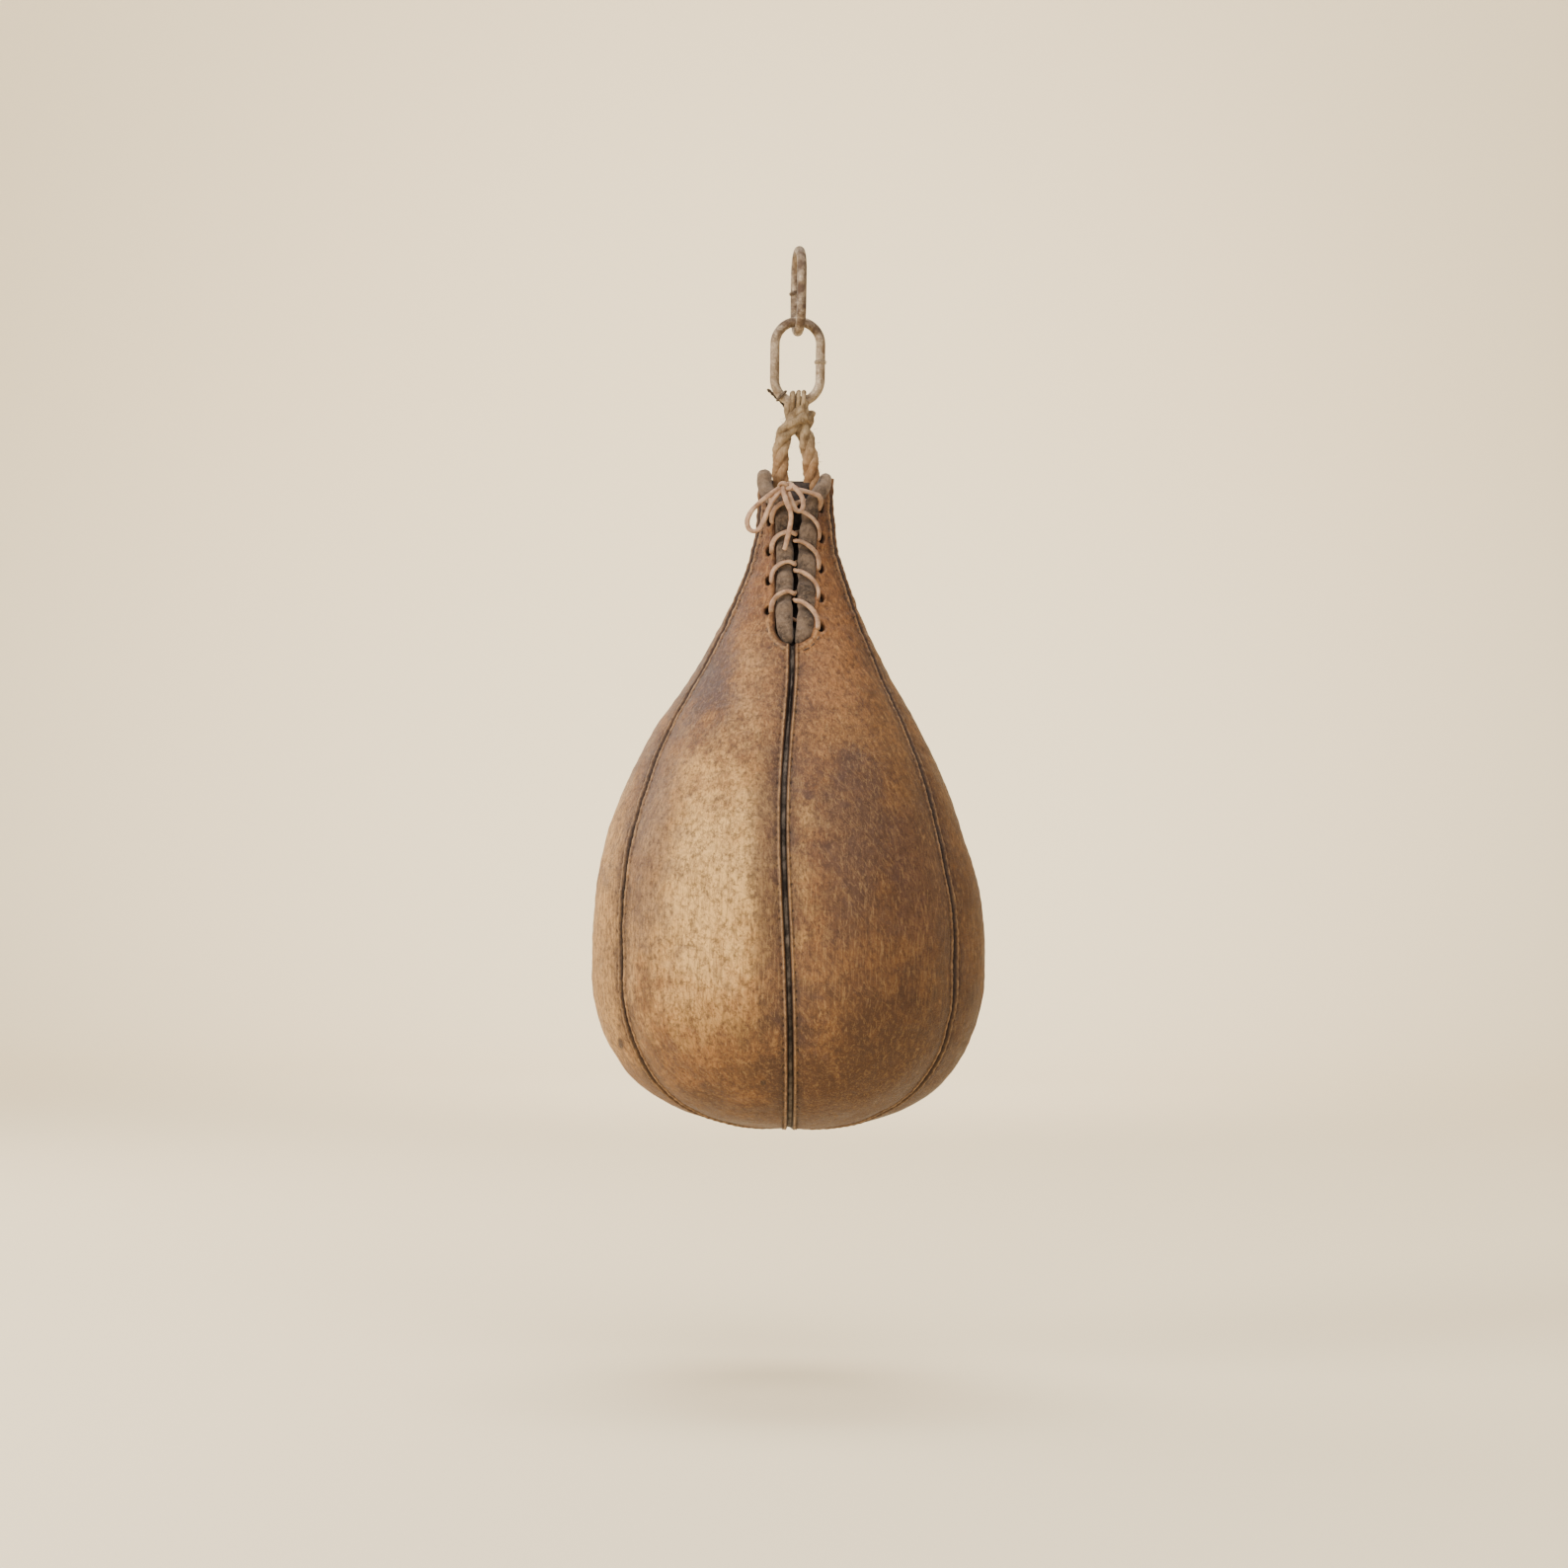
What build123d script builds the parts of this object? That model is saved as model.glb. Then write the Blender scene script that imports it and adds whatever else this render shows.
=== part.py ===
from build123d import *

# A laced leather speed bag that hangs by a rope from two chain links.
# Six leather gores are sewn together over welts. The throat is open at the front, where a single
# lace draws two padded facings together over a tongue. A rope runs from the lower link, down
# through a wooden plug in the throat and back up, and carries the bag by that plug. A canvas
# lining inside the leather holds a rubber bladder.
#
# Millimetres. +Z is up and -Y is the front, the laced side. The origin is where a hook bears on
# the upper link, at the top of the inside of its eye.

import math
import os

# Chain links, outside sizes
WIRE = 5.6
LINK_LENGTH = 53.0
LINK_WIDTH = 32.4
UPPER_LINK_TURN = 8.0  # degrees about Z, away from exactly edge-on
LINK_GAP = 0.3  # between the two links, which swing on each other

# Leather shell
STRAND_DROP = 42.2  # from the bottom of the lower link to the rim of the neck
# Radius and distance below the rim, down the outside of the bag to its lowest point
PROFILE = [
    (22.3, 0.0),
    (22.4, 18.0),
    (25.2, 42.0),
    (33.8, 66.5),
    (53.9, 108.5),
    (78.3, 148.0),
    (100.0, 194.5),
    (112.8, 241.0),
    (115.2, 275.0),
    (112.8, 310.0),
    (103.8, 334.0),
    (86.0, 357.0),
    (64.0, 370.5),
    (34.0, 378.8),
    (0.0, 381.0),
]
LEATHER = 2.4
SEAM_GAP = 1.8
WELT = 1.6
WELT_SUNK = 0.7
WELT_POLE = 7.0  # radius around the lowest point that the welts stop at
THREAD_POLE = 12.0
SEAMS = ["front", "front_right", "back_right", "back", "back_left", "front_left"]
GORES = ["front_right", "right", "back_right", "back_left", "left", "front_left"]
SEAM_STEP = 360 / len(SEAMS)

# Rows of stitches either side of each seam, as the thread that lies on the inside of the leather
THREAD = 0.6
THREAD_OFFSET = 3.5
THREAD_DEPTH = 2.8

# Laced opening in the front of the throat
SLIT_HALF = 10.4
SLIT_BOTTOM = 98.2  # below the rim
SLIT_EDGE = [(10.4, 60.0), (11.4, 36.0), (12.3, 20.0), (15.6, 8.0), (20.4, -1.0)]  # half width, below the rim
FACING_R = 4.0
FACING_DEPTH = 1.2
# Centre of a facing, from the foot of the opening up to the ear at the rim
FACING_LINE = [(4.5, 93.0), (6.0, 83.0), (6.3, 60.0), (7.3, 36.0), (8.1, 20.0), (10.8, 8.0), (17.0, -2.5)]
FACING_BENDS = [30.0, 60.0, 60.0, 20.0, 8.0]
TONGUE_DEPTH = 9.6
TONGUE = 1.2
TONGUE_ARC = 76.0
TONGUE_LOW = 8.0  # how far the tongue runs on below the foot of the opening
COLLAR_DEPTH = 3.6
COLLAR = 1.4
COLLAR_BOTTOM = 88.0
THREAD_TOP = 22.0  # below the rim, where the rows of stitches start

# Lace and its eyelets
LACE_R = 1.3
EYELET_R = 2.0
EYELET_X = 14.8
EYELET_PITCH = 17.6
EYELET_PAIRS = 5
LEFT_EYELET = 79.2  # lowest left eyelet, below the rim
RIGHT_EYELET = 88.7
TOP_LEFT_EYELET = (-15.2, 17.0)  # the last left one sits lower than its pitch, clear of the ear
LACE_UNDER = 7.4  # depth of the lace where it runs under a facing
LACE_OVER = -5.4
LACE_OUT = -2.2
CENTRE_RISE = (9.8, 15.5)  # how far a lace climbs from a left, and from a right, eyelet to the middle
KNOT = (-6.0, -29.0, 7.2)  # x, y, and how far the bow's knot is below the rim
KNOT_R = 3.4

# Bow: points of each free stretch of lace, as x, y and distance below the rim
LOOP_LEFT = [
    (-9.3, -29.4, 7.6), (-13.6, -30.6, 10.6), (-20.0, -30.4, 15.4), (-25.6, -29.2, 20.6),
    (-28.6, -28.6, 27.0), (-27.0, -28.8, 32.6), (-22.0, -29.8, 33.4), (-18.2, -31.0, 27.0),
    (-15.0, -31.8, 18.0), (-11.6, -31.4, 12.0), (-8.6, -30.2, 9.8),
]
LOOP_RIGHT = [
    (-3.4, -30.0, 5.6), (0.4, -31.2, 8.2), (3.6, -32.0, 12.6), (4.6, -32.6, 17.8), (2.8, -33.2, 21.8),
    (-0.4, -33.4, 20.4), (-2.6, -32.6, 15.4), (-4.4, -31.2, 10.4),
]
LACE_END = [(-7.4, -32.2, 9.4), (-6.0, -36.0, 15.4), (-2.2, -36.6, 23.0), (-3.4, -36.0, 33.0), (-6.2, -34.6, 43.6)]

# Hanging rope
STRAND_X = 9.2
STRAND_R = 4.5
TURN_INNER = 4.0  # inside radius of the rope's flattened turn round the link's wire
TURN_THICK = 3.0
TURN_WIDE = 9.6
ROPE_KNOT_R = 6.8
KNOT_DROP = 13.4  # from the centre of the link's wire to the middle of the rope's knot
# Short end of the rope beside its knot, and a stray end of twine on the link, from the wire's centre
ROPE_END = [(1.0, 3.0, -15.0), (5.6, 6.4, -12.4), (7.2, 6.8, -5.2)]
ROPE_END_R = 3.5
TWINE = [(-6.2, 4.2, -3.6), (-9.6, 4.2, 1.2), (-13.4, 5.2, 4.2), (-17.4, 4.2, 7.8)]
TWINE_R = 0.9
TWINE_X = -9.2

# Wooden plug in the throat
PLUG_TOP = 56.0  # below the rim
PLUG_HEIGHT = 14.0  # thin enough to go in through the laced opening on edge
PLUG_DEPTH = 5.2  # it follows the inside of the throat at this depth, just clear of the collar
PLUG_RELIEF = 11.1  # and this depth in front, where the tongue lies over it
PLUG_RELIEF_ARC = 84.0
PLUG_HOLE_R = 4.9

# Lining and bladder
LINING_DEPTH = 4.4
LINING = 0.8
LINING_TOP = 112.0
BLADDER_DEPTH = 5.6
BLADDER = 1.2
BLADDER_TOP = 130.0
STEM_R = 5.0
STEM_BORE = 3.0
STEM_TOP = 114.0
TIE_R = 1.2
PATCH_R = 20.0
PATCH = 0.6
PATCH_DEPTH = 3.6

TALL = 500.0  # longer than anything here, for cutting
ARC = LINK_WIDTH / 2 - WIRE / 2
UPPER_FOOT = WIRE * 1.5 - LINK_LENGTH  # height of the centre of the wire at the foot of the upper link
LOWER_HEAD = UPPER_FOOT + WIRE + LINK_GAP
LOWER_FOOT = LOWER_HEAD - LINK_LENGTH + WIRE
RIM = LOWER_FOOT - WIRE / 2 - STRAND_DROP
BAG_BOTTOM = RIM - PROFILE[-1][1]


def outline(depth):
    """The driving points of the bag's outline, moved inwards by depth, as radius and height."""
    moved = []
    last = len(PROFILE) - 1
    for i, (r, drop) in enumerate(PROFILE):
        before = PROFILE[max(i - 1, 0)]
        after = PROFILE[min(i + 1, last)]
        along = Vector(after[0] - before[0], before[1] - after[1]).normalized()
        inward = Vector(along.Y, -along.X)
        if i == 0:
            inward = Vector(-1, 0)
        if i == last:
            inward = Vector(0, 1)
        moved.append((r + inward.X * depth, RIM - drop + inward.Y * depth))
    return moved


def outline_curve(depth):
    """The bag's outline at a depth, as a curve in the XZ plane."""
    points = [(r, 0, z) for r, z in outline(depth)]
    return Spline(*points, tangents=[(0, 0, -1), (-1, 0, 0)])


def half_section(depth):
    """Half of what lies inside the bag's outline at a depth, as a face in the XZ plane."""
    curve = outline_curve(depth)
    foot, rim = curve @ 1, curve @ 0
    return make_face([curve, Line(foot, (0, 0, rim.Z)), Line((0, 0, rim.Z), rim)])


def skin(depth, thickness):
    """A shell that follows the bag all round, from depth to depth plus thickness."""
    return revolve(half_section(depth), Axis.Z) - revolve(half_section(depth + thickness), Axis.Z)


def strip(depth, reach, width, pole):
    """A thin radial fin in the XZ plane, from depth to depth plus reach, width thick, down to the pole radius."""
    band = half_section(depth) - half_section(depth + reach)
    fin = extrude(band, width / 2, both=True)
    return fin - Cylinder(pole, 3 * TALL)


def below(drop):
    """A block that holds everything lower than drop below the rim."""
    return Pos(0, 0, RIM - drop - TALL / 2) * Box(TALL, TALL, TALL)


OUTLINE = outline_curve(0)


def bag_radius(z):
    """The bag's outside radius at a height."""
    low, high = 0.0, 1.0
    for _ in range(40):
        middle = (low + high) / 2
        if (OUTLINE @ middle).Z > z:
            low = middle
        else:
            high = middle
    return (OUTLINE @ low).X


def on_front(x, drop, depth):
    """A point of the bag's front at x, drop below the rim, and depth under its outside."""
    z = RIM - drop
    radius = bag_radius(min(z, RIM))
    turn = math.asin(x / radius)
    inside = radius - depth
    return Vector(inside * math.sin(turn), -inside * math.cos(turn), z)


def tube(points, bends, radius):
    """A round tube along straight runs joined by arcs."""
    path = FilletPolyline(*points, radius=bends)
    return sweep(Plane(path @ 0, z_dir=path % 0) * Circle(radius), path)


def cord_bends(points, tightest):
    """The largest radius that the runs beside each corner of a cord's route allow."""
    radii = []
    for a, b, c in zip(points, points[1:], points[2:]):
        before, after = Vector(*b) - Vector(*a), Vector(*c) - Vector(*b)
        half_turn = math.radians(before.get_angle(after)) / 2
        radii.append(max(tightest, 0.45 * min(before.length, after.length) / math.tan(half_turn)))
    return radii


def chain_link(head, turn):
    """An oval link whose upper wire has its centre at height head. With no turn it lies in the XZ plane."""
    straight = LINK_LENGTH - LINK_WIDTH
    centre = Pos(0, 0, head - (LINK_LENGTH - WIRE) / 2)
    bow = Pos(0, 0, straight / 2) * Rot(90, 0, 0) * Torus(ARC, WIRE / 2)
    half = bow & Pos(0, 0, straight / 2 + TALL / 2) * Box(TALL, TALL, TALL)
    leg = Cylinder(WIRE / 2, straight)
    link = half + Rot(0, 180, 0) * half + Pos(ARC, 0, 0) * leg + Pos(-ARC, 0, 0) * leg
    return Rot(0, 0, turn) * centre * link


def slit_prism(margin):
    """What is cut out of the front of the throat, wider all round by margin."""
    half = SLIT_HALF + margin
    middle = RIM - SLIT_BOTTOM + SLIT_HALF
    side = [(x + margin, 0, RIM - drop) for x, drop in SLIT_EDGE]
    other = [(-x, 0, z) for x, _, z in reversed(side)]
    foot = ThreePointArc((-half, 0, middle), (0, 0, middle - half), (half, 0, middle))
    edges = [foot, Polyline((half, 0, middle), *side), Line(side[-1], other[0]), Polyline(*other, (-half, 0, middle))]
    return extrude(make_face(edges), 60, dir=(0, -1, 0))


def eyelets():
    """Places of the eyelets as (x, drop), left then right, from the lowest pair up."""
    left = [(-EYELET_X, LEFT_EYELET - i * EYELET_PITCH) for i in range(EYELET_PAIRS)]
    right = [(EYELET_X, RIGHT_EYELET - i * EYELET_PITCH) for i in range(EYELET_PAIRS)]
    left[-1] = TOP_LEFT_EYELET
    return left, right


def eyelet_punches():
    """Radial cylinders that cut every eyelet."""
    punches = []
    for x, drop in [*eyelets()[0], *eyelets()[1]]:
        outside, inside = on_front(x, drop, -3), on_front(x, drop, 9)
        plane = Plane(outside, z_dir=inside - outside)
        punches.append(extrude(plane * Circle(EYELET_R), 12))
    return punches


def gores():
    """The six leather panels, in the order of GORES."""
    shell = skin(0, LEATHER)
    for i in range(3):
        shell -= Rot(0, 0, i * SEAM_STEP) * Pos(0, 0, -TALL / 2) * Box(SEAM_GAP, TALL, 3 * TALL)
    shell -= slit_prism(0)
    for punch in eyelet_punches():
        shell -= punch

    def place(solid):
        middle = solid.center()
        return math.degrees(math.atan2(middle.X, -middle.Y)) % 360

    return dict(zip(GORES, sorted(shell.solids(), key=place)))


def welts():
    """A leather strip in each seam. The front one stops at the foot of the laced opening."""
    fin = strip(WELT_SUNK, LEATHER + 1.0 - WELT_SUNK, WELT, WELT_POLE)
    made = {}
    for i, name in enumerate(SEAMS):
        welt = Rot(0, 0, -90 + i * SEAM_STEP) * fin
        if name == "front":
            welt = welt & below(SLIT_BOTTOM + 0.4)
        made[name] = welt - slit_prism(0.4)
    return made


def seam_threads():
    """The two rows of thread on the inside of each seam."""
    row = strip(THREAD_DEPTH, THREAD, THREAD, THREAD_POLE)
    made = {}
    for i, name in enumerate(SEAMS):
        turn = Rot(0, 0, -90 + i * SEAM_STEP)
        top = SLIT_BOTTOM + 4 if name == "front" else THREAD_TOP
        pair = [turn * Pos(0, side * THREAD_OFFSET, 0) * row & below(top) for side in (-1, 1)]
        made[name] = Compound([solid for line in pair for solid in line.solids()])
    return made


def facing(side):
    """A padded roll along one edge of the opening, from its foot to the ear at the rim."""
    points = [on_front(side * x, drop, FACING_DEPTH) for x, drop in FACING_LINE]
    return tube(points, FACING_BENDS, FACING_R)


def facing_thread():
    """The row of stitches that holds the facings, round the foot of the opening."""
    ring = slit_prism(3.0 + THREAD) - slit_prism(3.0)
    line = skin(THREAD_DEPTH, THREAD) & ring & below(RIGHT_EYELET + 3)
    return line - Box(WELT + 1, TALL, 3 * TALL)


def tongue():
    """The leather flap behind the facings."""
    flap = revolve(
        half_section(TONGUE_DEPTH) - half_section(TONGUE_DEPTH + TONGUE), Axis.Z, revolution_arc=TONGUE_ARC
    )
    flap = Rot(0, 0, -90 - TONGUE_ARC / 2) * flap
    return (flap - below(SLIT_BOTTOM + TONGUE_LOW)) & below(3)


def throat_collar():
    """The leather doubler inside the throat, which takes the pull of the eyelets."""
    collar = skin(COLLAR_DEPTH, COLLAR) - below(COLLAR_BOTTOM) - slit_prism(0.4)
    for punch in eyelet_punches():
        collar -= punch
    return collar


def lace_side(side):
    """One half of the lace, from under the lowest eyelet of a side to the knot, and its bends.

    It comes out of an eyelet, goes over the facing beside it into the opening, under the other
    facing, and out of the next eyelet of that side.
    """
    points, bends = [], []
    for i in range(EYELET_PAIRS):
        x, drop = eyelets()[side > 0][i]
        points += [on_front(x, drop, LACE_UNDER), on_front(x, drop, LACE_OUT)]
        bends += [1.8, 1.8]
        if i + 1 < EYELET_PAIRS:
            rise = CENTRE_RISE[side > 0]
            points += [
                on_front(side * 6.8, drop - 0.6 * rise, LACE_OVER),
                on_front(side * 0.3, drop - rise, LACE_OVER + 0.2),
                on_front(0, drop - rise - 0.8, LACE_UNDER),
                on_front(-side * 6.8, drop - rise - 3.0, LACE_UNDER),
            ]
            bends += [4.0, 2.2, 2.0, 4.0]
            side = -side
    x, drop = side * 10.5, (drop + KNOT[2]) / 2
    points.append(on_front(x, drop, LACE_OVER - 1.0))
    bends.append(4.0)
    return points, bends, side


def lace():
    """The whole lace, from the knot down one way and back up the other, as one tube."""
    points, bends = [], []
    for start in (-1, 1):
        half, half_bends, side = lace_side(start)
        half.append(Vector(KNOT[0] + side * 1.5, KNOT[1] + 1.8, RIM - KNOT[2]))
        if start < 0:
            half.reverse()
            half_bends.reverse()
            half.append(on_front(0, (LEFT_EYELET + RIGHT_EYELET) / 2, LACE_UNDER))
            half_bends.append(12.0)
        points += half
        bends += half_bends
    return tube(points, bends, LACE_R)


def bow_knot():
    """The knot of the bow."""
    return Pos(KNOT[0], KNOT[1], RIM - KNOT[2]) * Sphere(KNOT_R)


def free_lace(route):
    """A stretch of lace that nothing holds."""
    points = [(x, y, RIM - drop) for x, y, drop in route]
    bends = cord_bends(points, 2.0)
    print("free lace bends", [round(r, 1) for r in bends])
    return tube(points, bends, LACE_R)


def hanging_rope():
    """One rope: its turn round the link, its knot, and two strands that join under the plug."""
    turn_z = RIM - PLUG_TOP - PLUG_HEIGHT - 3 - STRAND_X
    knot_z = LOWER_FOOT - KNOT_DROP
    left = [(-3.0, 0, knot_z), (-8.6, 0, knot_z - 11), (-STRAND_X, 0, knot_z - 28), (-STRAND_X, 0, turn_z)]
    right = [(STRAND_X, 0, turn_z), (STRAND_X, 0, knot_z - 32), (6.6, 0, knot_z - 14), (2.6, 0, knot_z)]
    bend = STRAND_X - 0.1
    rope = tube(left + right, [14, 40, bend, bend, 40, 30], STRAND_R)
    rope += Pos(0, 0, knot_z) * Sphere(ROPE_KNOT_R)
    ring = Rot(0, 90, 0) * Torus(TURN_INNER + TURN_THICK / 2, TURN_THICK / 2)
    rope += Pos(0, 0, LOWER_FOOT) * scale(ring, (TURN_WIDE / TURN_THICK, 1, 1))
    rope += tube([(x, y, LOWER_FOOT + z) for x, y, z in ROPE_END], [5], ROPE_END_R)
    return rope


def link_twine():
    """A bit of old twine round the lower link's wire."""
    turn = math.asin(TWINE_X / ARC)
    ring = Pos(TWINE_X, 0, ARC - ARC * math.cos(turn)) * Rot(0, -math.degrees(turn), 0) * Rot(0, 90, 0)
    twine = ring * Torus(WIRE / 2 + TWINE_R + 0.1, TWINE_R)
    points = [Vector(*point) for point in TWINE]
    return Pos(0, 0, LOWER_FOOT) * (twine + tube(points, cord_bends(TWINE, 2.0), TWINE_R))


def neck_plug():
    """The wooden plug that the throat bears on, with a hole for each strand of the rope."""
    plug = revolve(half_section(PLUG_DEPTH), Axis.Z)
    sector = revolve(half_section(PLUG_DEPTH - 1) - half_section(PLUG_RELIEF), Axis.Z, PLUG_RELIEF_ARC)
    plug -= Rot(0, 0, -90 - PLUG_RELIEF_ARC / 2) * sector
    plug = (plug & below(PLUG_TOP)) - below(PLUG_TOP + PLUG_HEIGHT)
    for x in (-STRAND_X, STRAND_X):
        plug -= Pos(x, 0, 0) * Cylinder(PLUG_HOLE_R, 3 * TALL)
    return plug


def lining():
    """The canvas bag inside the leather, open at its top."""
    return skin(LINING_DEPTH, LINING) & below(LINING_TOP)


def bladder():
    """The rubber bladder, with the stem that it is filled through."""
    outside = revolve(half_section(BLADDER_DEPTH), Axis.Z) & below(BLADDER_TOP)
    outside = fillet(outside.edges().sort_by(Axis.Z)[-1], 8)
    inside = revolve(half_section(BLADDER_DEPTH + BLADDER), Axis.Z) & below(BLADDER_TOP + BLADDER)
    inside = fillet(inside.edges().sort_by(Axis.Z)[-1], 7)
    foot = RIM - BLADDER_TOP - BLADDER / 2
    top = RIM - STEM_TOP
    stem = Pos(0, 0, (foot + top) / 2) * Cylinder(STEM_R, top - foot)
    bore = Pos(0, 0, (foot + top) / 2 - 5) * Cylinder(STEM_BORE, top - foot + 8)
    return outside + stem - inside - bore


def stem_tie():
    """Three turns of cord round the bladder's stem."""
    turns = []
    for i in range(3):
        height = RIM - STEM_TOP - 5 - i * 2.1 * TIE_R
        turns.append(Pos(0, 0, height) * Torus(STEM_R + TIE_R + 0.05, TIE_R))
    return Compound(turns)


def bottom_patch():
    """The round patch inside the lowest point, where the six gores meet."""
    return skin(PATCH_DEPTH, PATCH) & Pos(0, 0, BAG_BOTTOM) * Cylinder(PATCH_R, 40)


def build():
    """Every piece of the object by its name."""
    pieces = {
        "upper_link": chain_link(WIRE / 2, 90 + UPPER_LINK_TURN),
        "oval_link": chain_link(LOWER_HEAD, 0),
        "link_twine": link_twine(),
        "hanging_rope": hanging_rope(),
        "neck_plug": neck_plug(),
        "facing_left": facing(-1),
        "facing_right": facing(1),
        "facing_thread": facing_thread(),
        "tongue": tongue(),
        "throat_collar": throat_collar(),
        "lace": lace(),
        "bow_knot": bow_knot(),
        "bow_loop_left": free_lace(LOOP_LEFT),
        "bow_loop_right": free_lace(LOOP_RIGHT),
        "lace_end": free_lace(LACE_END),
        "lining": lining(),
        "bladder": bladder(),
        "stem_tie": stem_tie(),
        "bottom_patch": bottom_patch(),
    }
    pieces |= {f"gore_{name}": piece for name, piece in gores().items()}
    pieces |= {f"welt_{name}": piece for name, piece in welts().items()}
    pieces |= {f"seam_thread_{name}": piece for name, piece in seam_threads().items()}
    return pieces


os.makedirs("parts", exist_ok=True)
for node, piece in build().items():
    export_step(piece, f"parts/{node}.step")
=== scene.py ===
import math
import random

import bmesh
import bpy
import numpy as np
from mathutils import Matrix, Vector, noise


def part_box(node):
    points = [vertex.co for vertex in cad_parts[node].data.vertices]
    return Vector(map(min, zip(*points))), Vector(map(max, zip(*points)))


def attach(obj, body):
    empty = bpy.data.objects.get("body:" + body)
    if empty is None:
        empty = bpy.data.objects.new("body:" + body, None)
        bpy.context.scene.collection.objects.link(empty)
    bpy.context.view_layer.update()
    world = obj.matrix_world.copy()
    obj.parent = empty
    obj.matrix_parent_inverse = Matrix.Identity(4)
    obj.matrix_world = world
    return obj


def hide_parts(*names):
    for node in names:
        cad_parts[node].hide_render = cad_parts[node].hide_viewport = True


# The looks of a laced leather speed bag that hangs by a rope from two chain links.
# Lengths are in millimetres up to mesh(), which makes metres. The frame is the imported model's:
# +Z up, -Y the laced front, and the origin where a hook bears on the upper link.

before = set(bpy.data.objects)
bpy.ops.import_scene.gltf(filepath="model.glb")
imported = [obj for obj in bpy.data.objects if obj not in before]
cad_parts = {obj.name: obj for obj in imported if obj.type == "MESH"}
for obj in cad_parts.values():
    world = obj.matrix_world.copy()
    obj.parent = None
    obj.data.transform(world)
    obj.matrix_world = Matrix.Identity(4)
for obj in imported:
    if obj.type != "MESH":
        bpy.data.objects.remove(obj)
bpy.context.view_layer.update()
MM = 0.001
TURN = 2 * math.pi
RNG = random.Random(7)
noise.seed_set(7)  # without it, noise_vector gives another result each run

# ---- places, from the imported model

_, gore_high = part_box("gore_back_left")
link_low, link_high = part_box("oval_link")
RIM = gore_high.z / MM
WIRE = (link_high.y - link_low.y) / MM
LINK_WIDTH = (link_high.x - link_low.x) / MM
LINK_LENGTH = 53.0
FOOT = link_low.z / MM + WIRE / 2  # the middle of the lower link's wire, at its foot
ARC = LINK_WIDTH / 2 - WIRE / 2  # from a link's middle to the middle of its wire
UPPER_TURN = math.radians(8)

# Radius and distance below the rim, down the outside of the bag
PROFILE = [
    (22.3, 0.0), (22.4, 18.0), (25.2, 42.0), (33.8, 66.5), (53.9, 108.5), (78.3, 148.0), (100.0, 194.5),
    (112.8, 241.0), (115.2, 275.0), (112.8, 310.0), (103.8, 334.0), (86.0, 357.0), (64.0, 370.5),
    (34.0, 378.8), (0.0, 381.0),
]
LEATHER = 2.4
LEATHER_SHOWN = 0.8  # share of the leather's thickness that the gores are given
SEAM_STEP = math.radians(60)
LOBE = 0.05  # how far the seams lie inside a round bag, as a share of its radius
STITCH_PITCH = 5.0
STITCH_OUT = 4.3  # from a seam to the row of stitches on either side
THREAD = 0.42
# The laced opening: its foot, the half width of its round end, and drops with half widths above that
SLIT_BOTTOM = 98.2
SLIT_HALF = 10.9
ROUND_TOP = SLIT_BOTTOM - SLIT_HALF
SLIT_EDGE = [(-1.0, 20.4), (8.0, 15.8), (20.0, 12.4), (36.0, 11.6), (60.0, 10.9), (ROUND_TOP, 10.9)]
EYELET_PITCH = 17.6
EYELET_X = 14.8
# Eyelets as x and drop, from the lowest up
LEFT_EYELETS = [(-EYELET_X, 79.2 - i * EYELET_PITCH) for i in range(4)] + [(-15.2, 17.0)]
RIGHT_EYELETS = [(EYELET_X, 88.7 - i * EYELET_PITCH) for i in range(5)]


# ---- the bag's outside

def hermite_outline():
    """The outline as fine rows of radius, drop below the rim, and arc length."""
    points = np.array(PROFILE)
    steps = np.hypot(*np.diff(points, axis=0).T)
    slopes = np.zeros_like(points)
    for i in range(1, len(points) - 1):
        before, after = steps[i - 1], steps[i]
        left = (points[i] - points[i - 1]) / before
        right = (points[i + 1] - points[i]) / after
        slopes[i] = (left * after + right * before) / (before + after)
    slopes[0] = (0, 1)
    slopes[-1] = (-1, 0)
    rows = []
    for i, step in enumerate(steps):
        for k in np.linspace(0, 1, 60, endpoint=i == len(steps) - 1):
            h00, h10 = 2 * k**3 - 3 * k**2 + 1, k**3 - 2 * k**2 + k
            h01, h11 = -2 * k**3 + 3 * k**2, k**3 - k**2
            rows.append(h00 * points[i] + h10 * step * slopes[i]
                        + h01 * points[i + 1] + h11 * step * slopes[i + 1])
    rows = np.array(rows)
    arc = np.concatenate([[0], np.cumsum(np.hypot(*np.diff(rows, axis=0).T))])
    return rows[:, 0], rows[:, 1], arc


OUT_R, OUT_DROP, OUT_ARC = hermite_outline()
ARC_LENGTH = OUT_ARC[-1]


def arc_at(drop):
    """Arc length down the outline at a distance below the rim."""
    return float(np.interp(drop, OUT_DROP, OUT_ARC))


def radius_at(arc):
    """Radius of the outline at an arc length."""
    return np.interp(arc, OUT_ARC, OUT_R)


def drop_at(arc):
    """Distance below the rim at an arc length."""
    return np.interp(arc, OUT_ARC, OUT_DROP)


def smooth(value, low, high):
    """0 below low, 1 above high, smooth between."""
    k = np.clip((value - low) / (high - low), 0, 1)
    return k * k * (3 - 2 * k)


def bell(value, middle, width, power=2):
    """1 at the middle, falling to 1/e a width away from it."""
    return np.exp(-(((value - middle) / width) ** power))


def seam_drift(drop):
    """How far, in radians, the two front side seams spread backwards towards the neck."""
    return math.radians(8) * (1 - smooth(drop, 90, 240))


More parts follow.
